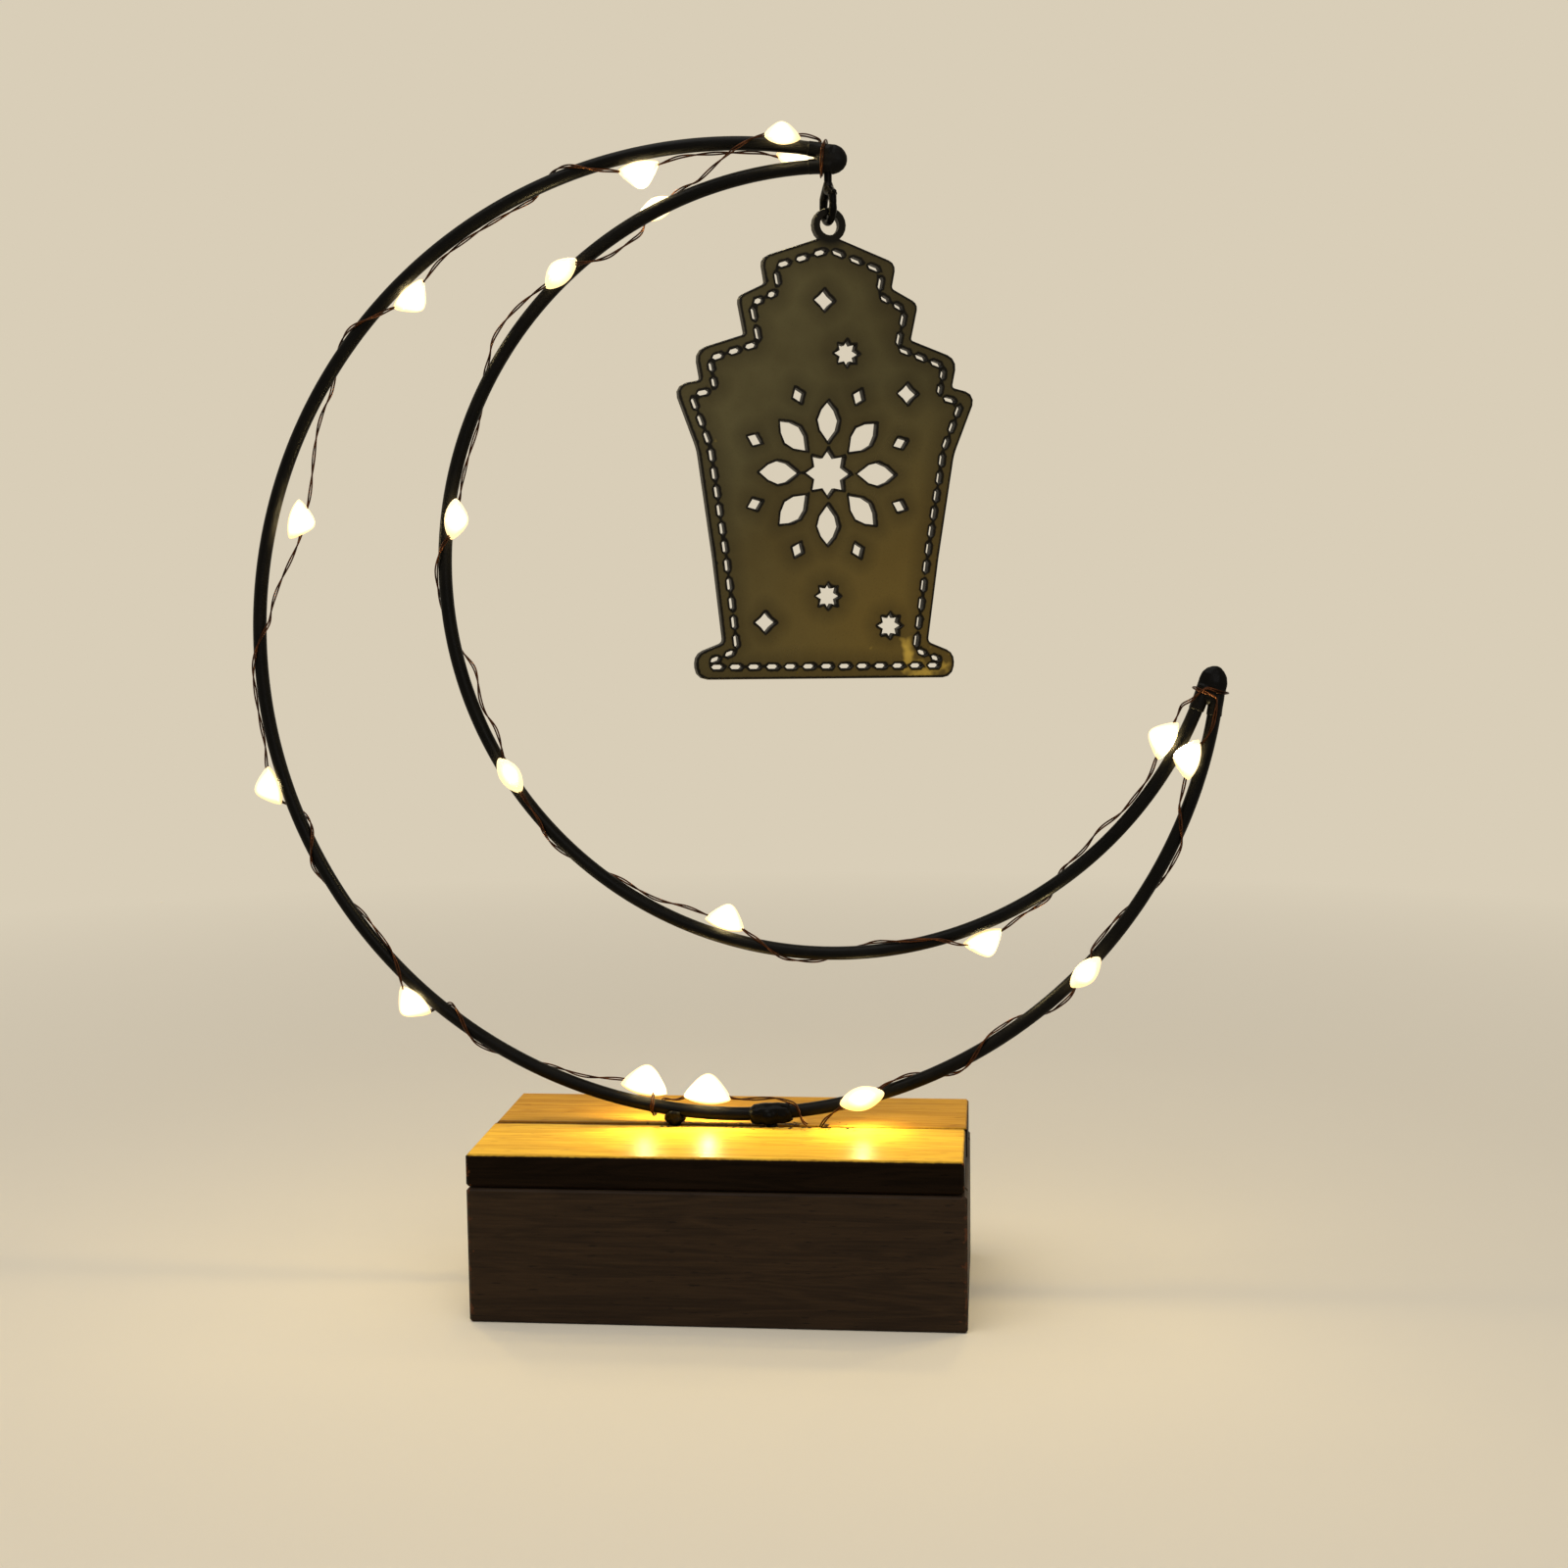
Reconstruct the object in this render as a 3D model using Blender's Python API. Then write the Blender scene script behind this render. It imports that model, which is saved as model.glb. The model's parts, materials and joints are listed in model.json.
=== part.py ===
"""Crescent moon lamp: two bent rods wound with a string of LEDs on a hollow pine base.

A pierced lantern plate hangs from the moon's upper tip by a swivel clasp, and a battery case
sits inside the base. Units are metres, +Z is up, the front faces -Y, and the origin lies at
table level under the middle of the lamp's overall box.
"""

import math

import bmesh
import bpy
import numpy as np
from mathutils import Matrix, Vector

MM = 0.001

# Clearances between separate pieces
GAP = 0.3 * MM
LOOSE_GAP = 0.5 * MM

# Wooden base
BASE_CENTRE_X = -1.6 * MM
BASE_WIDTH = 100 * MM
BASE_DEPTH = 50 * MM
BASE_HEIGHT = 34.6 * MM
BOARD_SHARE = 0.12
LID_THICKNESS = 6.7 * MM
LID_SHORTFALL = 0.6 * MM
LID_JOINT = 0.7 * MM
LID_FRONT_SHIFT = -0.3 * MM
BOARD_EDGE_ROUND = 0.5 * MM

# Crescent of two rods, each bent to an arc in the XZ plane
ROD_DIAMETER = 2.8 * MM
OUTER_RADIUS = 98.9 * MM
INNER_RADIUS_SHARE = 0.80182
ARC_OFFSET_SHARE = 0.25278
CRESCENT_TURN = 35.5
OUTER_CENTRE_X = 1.65 * MM
ROD_ABOVE_LID = 1.05 * MM
TIP_PITCH = ROD_DIAMETER + GAP
TOP_CAP_LENGTH = 5 * MM
SIDE_CAP_LENGTH = 6.2 * MM
CAP_OVERLAP = 0.1 * MM
CAP_ROUND_FROM = 0.35
CAP_CORNER_POWER = 0.25
CAP_RINGS = 6
CAP_SIDES = 16
ROD_SIDES = 10
OUTER_ROD_STEPS = 60
INNER_ROD_STEPS = 56

# Feet that hold the outer rod in the joint between the lid boards
LEFT_FOOT_X = -11.4 * MM
RIGHT_FOOT_X = 9 * MM
FOOT_RADIUS = 1.2 * MM
FOOT_BELOW_LID_TOP = 5.4 * MM
SADDLE_RADIUS = 2.2 * MM
SADDLE_HEIGHT = 1.7 * MM
SADDLE_BELOW_AXIS = 0.3 * MM
SLEEVE_LENGTH = 8.8 * MM
SLEEVE_WALL = 0.45 * MM

# LED string: one tube stands for the pair of copper strands
WIRE_DIAMETER = 0.6 * MM
WIRE_SEAT = ROD_DIAMETER / 2 + GAP + WIRE_DIAMETER / 2 + 0.05 * MM
WIRE_LIFT_RUN = 6.0
WIRE_TURN_STEP = 30
WIRE_LENGTH_STEP = 6 * MM
BEAD_DIAMETER = 2.6 * MM
BEAD_LENGTH = 4.2 * MM
BEAD_SEAT = ROD_DIAMETER / 2 + GAP + BEAD_DIAMETER / 2 + 0.05 * MM
WIRE_SLOT_X = 19 * MM
WIRE_SLOT_LENGTH = 3.6 * MM
WIRE_SLOT_WIDTH = 1.4 * MM
WIRE_EXIT_Y = 9 * MM

# Swivel clasp
CLASP_PAST_TIP = 1.323 * MM
CLASP_TURN = -52
CLASP_BAR = 1.1 * MM
CLASP_INNER_WIDTH = 3.5 * MM
CLASP_BAR_HEIGHT = 13.3 * MM
COLLAR_DIAMETER = 2.9 * MM
COLLAR_HEIGHT = 1.8 * MM
COLLAR_BELOW_TIP = 2.0 * MM
SWIVEL_DIAMETER = 1 * MM
SWIVEL_HEAD_DIAMETER = 2 * MM
SWIVEL_HEAD_HEIGHT = 0.6 * MM
SWIVEL_SOCKET_DEPTH = 1.2 * MM
LEVER_THICKNESS = 1.0 * MM
LEVER_TAB_REACH = 1.3 * MM
LEVER_PIN_DIAMETER = 0.7 * MM
LUG_DIAMETER = 2.2 * MM
LUG_WALL = 0.6 * MM
LUG_DROP = 0.2 * MM
BOSS_INSIDE_LUG = 0.15 * MM
HOOK_OPEN_HEIGHT = 1.0 * MM

# Lantern plate, with its eye at the top
PLATE_UNIT = 1 * MM
PLATE_THICKNESS = 2 * MM
PLATE_TURN = 22.3
PLATE_TILT = 0.9
EYE_OUTER_RADIUS = 3.4 * MM
EYE_HOLE_RADIUS = 2 * MM
EYE_PLAY = 0.55 * MM
STITCH_INSET = 2.5 * MM
STITCH_PITCH = 3.95 * MM
STITCH_LENGTH = 2.6 * MM
STITCH_WIDTH = 0.9 * MM
STITCH_SPACE = 1.1 * MM

# Drawing of the plate, in plate units: places are across and up from the eye,
# and a star has a radius at its points and one at its notches
ROSETTE_MIDDLE = (0, -49)
ROSETTE_PETALS = 8
ROSETTE_STAR = (4.7, 3.2)
PETAL = ((6.2, 0), (8.6, 1.8), (10.6, 2.3), (12.6, 1.5), (14.4, 0), (12.6, -1.5), (10.6, -2.3), (8.6, -1.8))
DIAMOND = ((15.0, 0), (16.6, 1.2), (18.2, 0), (16.6, -1.2))
LARGE_STAR = (2.6, 1.65)
LARGE_STAR_POINTS = 8
LARGE_STARS = ((3.8, -25.1), (0.1, -73.6), (13.4, -79.6))
SMALL_STAR = (2.1, 1.35)
SMALL_STAR_POINTS = 4
SMALL_STARS = ((-1.0, -14.8), (16.8, -32.7), (-13.1, -78.9))

# Battery case under the lid
CELL_DIAMETER = 14.5 * MM
CELL_LENGTH = 50.5 * MM
CELL_NUB_DIAMETER = 5.4 * MM
CELL_NUB_LENGTH = 1.3 * MM
CELL_EDGE = 0.6 * MM
CASE_WALL = 1.6 * MM
CASE_CEILING = 1.5 * MM
CASE_END_SPACE = 1.5 * MM
PAD_THICKNESS = 2.2 * MM
PAD_LENGTH = 50 * MM
PAD_WIDTH = 24 * MM
CONTACT_THICKNESS = 0.4 * MM
CONTACT_WIDTH = 11 * MM
CONTACT_HEIGHT = 11 * MM
SPRING_LENGTH = 3.7 * MM
SPRING_TURNS = 3
SPRING_WIRE = 0.6 * MM
SPRING_BASE_RADIUS = 3.4 * MM
SPRING_TOP_RADIUS = 1.9 * MM
COVER_THICKNESS = 1.9 * MM
COVER_TONGUE = 0.8 * MM
COVER_TONGUE_REACH = 0.6 * MM
CASE_LIP = 0.8 * MM
CASE_EDGE_ROUND = 0.6 * MM
GRIP_GROOVES = 4
GRIP_PITCH = 2.2 * MM
GRIP_WIDTH = 16 * MM
GRIP_DEPTH = 0.5 * MM
GRIP_FROM_END = 6 * MM

# Slide switch beside the cells
SWITCH_LENGTH = 6 * MM
SWITCH_WIDTH = 13 * MM
SWITCH_HEIGHT = 6 * MM
SWITCH_TRAVEL = 3 * MM
KNOB_LENGTH = 3 * MM
KNOB_WIDTH = 1.8 * MM
KNOB_OUT = 1.6 * MM
KNOB_FLANGE_REACH = 0.7 * MM
KNOB_FLANGE_HEIGHT = 1.4 * MM
SWITCH_FACE = 1.8 * MM

# Sizes and places that follow from the ones above
BOARD_THICKNESS = BOARD_SHARE * BASE_DEPTH
LID_WIDTH = BASE_WIDTH - LID_SHORTFALL
LID_UNDER_Z = BASE_HEIGHT - LID_THICKNESS
BOARD_TOP_Z = LID_UNDER_Z - GAP
INNER_RADIUS = INNER_RADIUS_SHARE * OUTER_RADIUS
ARC_OFFSET = ARC_OFFSET_SHARE * OUTER_RADIUS
OUTER_CENTRE_Z = BASE_HEIGHT + ROD_ABOVE_LID + ROD_DIAMETER / 2 + OUTER_RADIUS
OUTER_CENTRE = Vector((OUTER_CENTRE_X, 0, OUTER_CENTRE_Z))
INNER_CENTRE = OUTER_CENTRE + ARC_OFFSET * Vector(
    (math.cos(math.radians(CRESCENT_TURN)), 0, math.sin(math.radians(CRESCENT_TURN)))
)
ARCS = {"outer": (OUTER_CENTRE, OUTER_RADIUS), "inner": (INNER_CENTRE, INNER_RADIUS)}


def clear_scene():
    for item in list(bpy.data.objects):
        bpy.data.objects.remove(item, do_unlink=True)


# Materials


def finish(name, colour, roughness, metallic=0.0):
    material = bpy.data.materials.get(name)
    if material is None:
        material = bpy.data.materials.new(name)
        material.use_nodes = True
        shader = material.node_tree.nodes["Principled BSDF"]
        shader.inputs["Base Color"].default_value = (*colour, 1)
        shader.inputs["Roughness"].default_value = roughness
        shader.inputs["Metallic"].default_value = metallic
    return material


def pine():
    return finish("pine", (0.62, 0.36, 0.13), 0.6)


def black_rod():
    return finish("black_rod", (0.02, 0.02, 0.022), 0.35)


def black_sleeve():
    return finish("black_sleeve", (0.012, 0.012, 0.013), 0.15)


def copper():
    return finish("copper", (0.72, 0.33, 0.16), 0.3, 1.0)


def warm_resin():
    return finish("warm_resin", (1.0, 0.86, 0.55), 0.2)


def dark_nickel():
    return finish("dark_nickel", (0.06, 0.06, 0.065), 0.3, 1.0)


def antique_gold():
    return finish("antique_gold", (0.55, 0.42, 0.14), 0.25, 1.0)


def black_plastic():
    return finish("black_plastic", (0.025, 0.025, 0.027), 0.45)


def foam():
    return finish("foam", (0.8, 0.8, 0.78), 0.9)


def cell_jacket():
    return finish("cell_jacket", (0.12, 0.16, 0.2), 0.35, 0.3)


def nickel():
    return finish("nickel", (0.72, 0.7, 0.66), 0.25, 1.0)


def white_plastic():
    return finish("white_plastic", (0.75, 0.75, 0.73), 0.4)


# Building blocks


def place(item, material, origin, parent):
    if material is not None:
        item.data.materials.append(material)
    item.location = origin
    item.parent = parent
    return item


def mesh_object(name, bm, material, origin, parent, smooth_angle=35):
    bmesh.ops.recalc_face_normals(bm, faces=bm.faces)
    mesh = bpy.data.meshes.new(name)
    bm.to_mesh(mesh)
    bm.free()
    if smooth_angle:
        mesh.shade_smooth()
        mesh.set_sharp_from_angle(angle=math.radians(smooth_angle))
    item = bpy.data.objects.new(name, mesh)
    bpy.context.scene.collection.objects.link(item)
    return place(item, material, origin, parent)


def bevel(item, width, segments=1):
    modifier = item.modifiers.new("edge_round", "BEVEL")
    modifier.width = width
    modifier.segments = segments
    modifier.limit_method = "ANGLE"
    return item


def block(name, low, high, material, parent, edge=0.0, origin=(0, 0, 0)):
    """A box between two corners, given in the parent's frame."""
    low, high, origin = Vector(low), Vector(high), Vector(origin)
    bm = bmesh.new()
    bmesh.ops.create_cube(bm, size=1)
    for vertex in bm.verts:
        vertex.co = Vector(
            (low[i] + high[i]) / 2 - origin[i] + vertex.co[i] * (high[i] - low[i]) for i in range(3)
        )
    item = mesh_object(name, bm, material, origin, parent, smooth_angle=0)
    if edge:
        bevel(item, edge)
    return item


def turned(name, profile, material, parent, origin, rotation=(0, 0, 0), sides=16, closed=False):
    """A profile of (radius, height) points spun about the local Z axis."""
    bm = bmesh.new()
    chain = [bm.verts.new((radius, 0, height)) for radius, height in profile]
    edges = [bm.edges.new(pair) for pair in zip(chain, chain[1:])]
    if closed:
        edges.append(bm.edges.new((chain[-1], chain[0])))
    bmesh.ops.spin(
        bm, geom=chain + edges, cent=(0, 0, 0), axis=(0, 0, 1), angle=math.tau, steps=sides, use_merge=True
    )
    bmesh.ops.remove_doubles(bm, verts=bm.verts, dist=0.001 * MM)
    item = mesh_object(name, bm, material, origin, parent)
    item.rotation_euler = rotation
    return item


def cylinder(name, radius, length, material, parent, origin, rotation=(0, 0, 0), sides=16):
    half = length / 2
    profile = [(0, -half), (radius, -half), (radius, half), (0, half)]
    return turned(name, profile, material, parent, origin, rotation, sides)


def tube(name, points, diameter, material, parent, origin=(0, 0, 0), resolution=2):
    """A round wire through the given points, with filled ends."""
    curve = bpy.data.curves.new(name, "CURVE")
    curve.dimensions = "3D"
    curve.bevel_depth = diameter / 2
    curve.bevel_resolution = resolution
    curve.use_fill_caps = True
    spline = curve.splines.new("POLY")
    spline.points.add(len(points) - 1)
    for target, point in zip(spline.points, points):
        target.co = (*point, 1)
    item = bpy.data.objects.new(name, curve)
    bpy.context.scene.collection.objects.link(item)
    return place(item, material, origin, parent)


def tube_mesh(name, points, diameter, material, parent, resolution=2):
    """The same round wire as a mesh, which can be cut and joined."""
    wire = tube(name, points, diameter, None, parent, resolution=resolution)
    bm = bmesh.new()
    bm.from_mesh(bpy.data.meshes.new_from_object(wire))
    bpy.data.objects.remove(wire, do_unlink=True)
    bmesh.ops.remove_doubles(bm, verts=bm.verts, dist=0.001 * MM)
    return mesh_object(name, bm, material, (0, 0, 0), parent)


def cutter(item):
    item.hide_render = True
    item.display_type = "WIRE"
    return item


def boolean(item, other, operation):
    modifier = item.modifiers.new(other.name, "BOOLEAN")
    modifier.operation = operation
    modifier.solver = "EXACT"
    modifier.object = cutter(other)


def cut(item, *others):
    for other in others:
        boolean(item, other, "DIFFERENCE")


def fuse(item, *others):
    for other in others:
        boolean(item, other, "UNION")


def pivot(name, origin, parent, rotation=(0, 0, 0)):
    empty = bpy.data.objects.new(name, None)
    bpy.context.scene.collection.objects.link(empty)
    empty.location = origin
    empty.rotation_euler = rotation
    empty.parent = parent
    return empty


# Wooden base


def base_boards(lamp):
    x, y = BASE_WIDTH / 2, BASE_DEPTH / 2
    inner_y = y - BOARD_THICKNESS
    for name, side in (("base_front_board", -1), ("base_rear_board", 1)):
        low_y, high_y = sorted((side * y, side * inner_y))
        block(name, (-x, low_y, 0), (x, high_y, BOARD_TOP_Z), pine(), lamp, BOARD_EDGE_ROUND)
    for name, side in (("base_left_board", -1), ("base_right_board", 1)):
        low_x, high_x = sorted((side * x, side * (x - BOARD_THICKNESS)))
        block(
            name,
            (low_x, GAP - inner_y, 0),
            (high_x, inner_y - GAP, BOARD_TOP_Z),
            pine(),
            lamp,
            BOARD_EDGE_ROUND,
        )


def lid_boards(lamp):
    x, y = LID_WIDTH / 2, BASE_DEPTH / 2
    boards = (("lid_front_board", -1, LID_FRONT_SHIFT), ("lid_rear_board", 1, 0))
    for name, side, shift in boards:
        low_y, high_y = sorted((side * y, side * LID_JOINT / 2))
        low = (shift - x, low_y, LID_UNDER_Z)
        high = (shift + x, high_y, BASE_HEIGHT)
        board = block(name, low, high, pine(), lamp, BOARD_EDGE_ROUND)
        for foot_x in (LEFT_FOOT_X, RIGHT_FOOT_X):
            at = (foot_x, 0, BASE_HEIGHT)
            hole = cylinder(f"{name}_foot_hole", FOOT_RADIUS + GAP, 3 * LID_THICKNESS, None, lamp, at)
            cut(board, hole)
        slot = block(
            f"{name}_wire_slot",
            (WIRE_SLOT_X - WIRE_SLOT_LENGTH / 2, -WIRE_SLOT_WIDTH / 2, LID_UNDER_Z - LID_THICKNESS),
            (WIRE_SLOT_X + WIRE_SLOT_LENGTH / 2, WIRE_SLOT_WIDTH / 2, BASE_HEIGHT + LID_THICKNESS),
            None,
            lamp,
        )
        cut(board, slot)


# Crescent


def arc_point(arc, angle):
    centre, radius = ARCS[arc]
    turn = math.radians(angle)
    return centre + radius * Vector((math.cos(turn), 0, math.sin(turn)))


def arc_tangent(angle):
    turn = math.radians(angle)
    return Vector((-math.sin(turn), 0, math.cos(turn)))


def tip(side):
    """Where the two rods meet: side 1 is the upper tip, -1 the one at the right."""
    reach = INNER_RADIUS + TIP_PITCH
    spread = math.acos(
        (OUTER_RADIUS**2 + ARC_OFFSET**2 - reach**2) / (2 * OUTER_RADIUS * ARC_OFFSET)
    )
    outer_angle = CRESCENT_TURN + side * math.degrees(spread)
    outer_end = arc_point("outer", outer_angle)
    from_inner = outer_end - INNER_CENTRE
    inner_angle = math.degrees(math.atan2(from_inner.z, from_inner.x))
    inner_end = arc_point("inner", inner_angle)
    axis = -side * (arc_tangent(outer_angle) + arc_tangent(inner_angle)).normalized()
    return {
        "outer": outer_angle if side > 0 else outer_angle + 360,
        "inner": inner_angle if side > 0 else inner_angle + 360,
        "middle": (outer_end + inner_end) / 2,
        "axis": axis,
    }


TOP_TIP = tip(1)
SIDE_TIP = tip(-1)
CLASP_X = TOP_TIP["middle"].x + CLASP_PAST_TIP


def bent_round(arc, start, end, radius, steps, sides):
    """Open round tube along an arc, with the vertices of its first and last rings."""
    bm = bmesh.new()
    turn = arc_tangent(start).to_track_quat("Z", "Y").to_matrix().to_4x4()
    section = Matrix.Translation(arc_point(arc, start)) @ turn
    ring = bmesh.ops.create_circle(bm, cap_ends=False, segments=sides, radius=radius, matrix=section)
    first = ring["verts"]
    swept = bmesh.ops.spin(
        bm,
        geom=first + bm.edges[:],
        cent=ARCS[arc][0],
        axis=(0, -1, 0),
        angle=math.radians(end - start),
        steps=steps,
    )
    last = [item for item in swept["geom_last"] if isinstance(item, bmesh.types.BMVert)]
    return bm, first, last


def close_ends(bm):
    bmesh.ops.holes_fill(bm, edges=[edge for edge in bm.edges if edge.is_boundary], sides=0)


def bent_rod(name, arc, steps, lamp):
    """A rod bent from the upper tip to the right one, its ends cut square to each tip."""
    start, end = TOP_TIP[arc], SIDE_TIP[arc]
    bm, first, last = bent_round(arc, start, end, ROD_DIAMETER / 2, steps, ROD_SIDES)
    for ring, angle, place_at in ((first, start, TOP_TIP), (last, end, SIDE_TIP)):
        along = arc_tangent(angle)
        for vertex in ring:
            away = (place_at["middle"] - vertex.co).dot(place_at["axis"])
            vertex.co += along * away / along.dot(place_at["axis"])
    close_ends(bm)
    return mesh_object(name, bm, black_rod(), (0, 0, 0), lamp)


def cap_ring(bm, share, length):
    """One oval ring of a tip cap, full width near the rods and narrower over the rounded end."""
    height = length * math.sin(share * math.pi / 2)
    past = max(0.0, height / length - CAP_ROUND_FROM) / (1 - CAP_ROUND_FROM)
    size = math.sqrt(1 - past**2)
    half_width = size * (TIP_PITCH + ROD_DIAMETER) / 2
    half_depth = size * (ROD_DIAMETER / 2 + CAP_OVERLAP)
    ring = []
    for k in range(CAP_SIDES):
        turn = math.tau * k / CAP_SIDES
        across, deep = math.cos(turn), math.sin(turn)
        corner = max(abs(across), abs(deep)) ** CAP_CORNER_POWER
        ring.append(bm.verts.new((half_width * across * corner, half_depth * deep, height)))
    return ring


def tip_cap(name, where, length, lamp):
    """A smooth dome over both rod ends."""
    bm = bmesh.new()
    rings = [cap_ring(bm, step / CAP_RINGS, length) for step in range(CAP_RINGS)]
    crown = bm.verts.new((0, 0, length))
    for k in range(CAP_SIDES):
        beside = (k + 1) % CAP_SIDES
        for low, high in zip(rings, rings[1:]):
            bm.faces.new((low[k], low[beside], high[beside], high[k]))
        bm.faces.new((rings[-1][k], rings[-1][beside], crown))
    bm.faces.new(reversed(rings[0]))
    cap = mesh_object(name, bm, black_rod(), where["middle"] + GAP * where["axis"], lamp)
    across = Vector((0, 1, 0)).cross(where["axis"])
    frame = Matrix((across, Vector((0, 1, 0)), where["axis"])).transposed()
    cap.rotation_euler = frame.to_euler()
    return cap


def crescent(lamp):
    bent_rod("outer_arc", "outer", OUTER_ROD_STEPS, lamp)
    bent_rod("inner_arc", "inner", INNER_ROD_STEPS, lamp)
    tip_cap("side_tip_cap", SIDE_TIP, SIDE_CAP_LENGTH, lamp)
    return tip_cap("top_tip_cap", TOP_TIP, TOP_CAP_LENGTH, lamp)


def rod_lean(x):
    """Slope in radians of the outer rod near its lowest point."""
    return math.asin((x - OUTER_CENTRE.x) / OUTER_RADIUS)


def rod_height(x):
    """Height of the outer rod's axis near its lowest point."""
    return OUTER_CENTRE.z - OUTER_RADIUS * math.cos(rod_lean(x))


def rod_clearance(name, x, reach, lamp):
    """A fatter copy of the outer rod's lowest stretch, to cut what the rod lies in."""
    middle = 270 + math.degrees(rod_lean(x))
    spread = math.degrees(reach / OUTER_RADIUS)
    radius = ROD_DIAMETER / 2 + GAP
    bm = bent_round("outer", middle - spread, middle + spread, radius, 4, 16)[0]
    close_ends(bm)
    return mesh_object(name, bm, None, (0, 0, 0), lamp)


def frame_feet(lamp):
    low = BASE_HEIGHT - FOOT_BELOW_LID_TOP
    saddle_top = rod_height(LEFT_FOOT_X) - SADDLE_BELOW_AXIS
    left = turned(
        "frame_foot_left",
        [
            (0, saddle_top),
            (SADDLE_RADIUS, saddle_top),
            (SADDLE_RADIUS, saddle_top - SADDLE_HEIGHT),
            (FOOT_RADIUS, BASE_HEIGHT + GAP),
            (FOOT_RADIUS, low),
            (0, low),
        ],
        black_rod(),
        lamp,
        (LEFT_FOOT_X, 0, 0),
    )
    cut(left, rod_clearance("left_foot_saddle", LEFT_FOOT_X, 3 * SADDLE_RADIUS, lamp))
    top = rod_height(RIGHT_FOOT_X) - ROD_DIAMETER / 2 - GAP
    cylinder(
        "frame_foot_right", FOOT_RADIUS, top - low, black_rod(), lamp, (RIGHT_FOOT_X, 0, (top + low) / 2)
    )


def splice_sleeve(lamp):
    """Shrunk tubing over the right foot's weld, lumpy at both ends."""
    radius = ROD_DIAMETER / 2 + GAP + SLEEVE_WALL
    half = SLEEVE_LENGTH / 2
    profile = [
        (0, -half),
        (0.8 * radius, -half),
        (radius, -0.8 * half),
        (radius, -0.3 * half),
        (0.94 * radius, 0),
        (radius, 0.3 * half),
        (radius, 0.8 * half),
        (0.8 * radius, half),
        (0, half),
    ]
    middle = Vector((RIGHT_FOOT_X, 0, rod_height(RIGHT_FOOT_X)))
    upright = math.pi / 2 - rod_lean(RIGHT_FOOT_X)
    sleeve = turned("splice_sleeve", profile, black_sleeve(), lamp, middle, (0, upright, 0), sides=14)
    foot_room = cylinder(
        "sleeve_foot_room",
        FOOT_RADIUS + GAP,
        2 * radius,
        None,
        lamp,
        (RIGHT_FOOT_X, 0, middle.z - radius),
    )
    cut(sleeve, rod_clearance("sleeve_bore", RIGHT_FOOT_X, SLEEVE_LENGTH, lamp), foot_room)


# LED string


def on_rod(arc, angle, phase, reach):
    """A point beside a rod: phase 0 is away from the arc's centre, 90 in front of the rod."""
    centre, radius = ARCS[arc]
    outward = (arc_point(arc, angle) - centre).normalized()
    turn = math.radians(phase)
    return arc_point(arc, angle) + reach * (math.cos(turn) * outward - math.sin(turn) * Vector((0, 1, 0)))


def held(arc, angle, phase, reach=WIRE_SEAT):
    return {"arc": arc, "angle": angle, "phase": phase, "reach": reach, "bead": False}


def bead(arc, angle, phase, reach=BEAD_SEAT):
    return {"arc": arc, "angle": angle, "phase": phase, "reach": reach, "bead": True}


def near_tip(arc, where, back, phase, reach=WIRE_SEAT):
    """A point held a stated length short of a tip."""
    toward = 1 if where is TOP_TIP else -1
    angle = where[arc] + toward * math.degrees(back / ARCS[arc][1])
    return held(arc, angle, phase, reach)


def free(x, y, z):
    return {"arc": None, "point": Vector((x, y, z)) * MM, "bead": False}


def tip_turns(where, back, pitch, first, last, sense):
    """Turns round both rods below a tip. Step 0 is in front of the outer rod, six steps are a turn."""
    ring = (("outer", 90), ("outer", 0), ("outer", -90), ("inner", 270), ("inner", 180), ("inner", 90))
    stops = []
    for step in range(first, last + 1):
        arc, phase = ring[sense * step % len(ring)]
        away = back - pitch * (step - first) / len(ring)
        stops.append(near_tip(arc, where, away, phase))
    return stops


def route_from_case():
    """Out of the battery case, under the lid and up through the slot in it."""
    case = case_sizes()
    end = case["end_x"] / MM
    exit_y = WIRE_EXIT_Y / MM
    exit_z = case["wire_z"] / MM
    lid = BASE_HEIGHT / MM
    under = LID_UNDER_Z / MM
    slot = WIRE_SLOT_X / MM
    return [
        free(end - 1.0, exit_y, exit_z),
        free(end + 1.3, exit_y, exit_z),
        free(end + 2.3, exit_y - 0.4, exit_z + 1.2),
        free(end + 2.5, exit_y - 1.4, exit_z + 3.3),
        free(end + 1.4, exit_y - 3.5, under - 1.7),
        free(slot + 3.4, 2.0, under - 1.2),
        free(slot + 1.2, 0.5, under - 0.9),
        free(slot + 0.3, 0, under + 0.3),
        free(slot, 0, under + 3.2),
        free(slot, 0, lid - 0.4),
        free(slot + 1.4, -0.9, lid + 1.9),
        free(slot + 4.2, -2.4, lid + 4.4),
    ]


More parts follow.
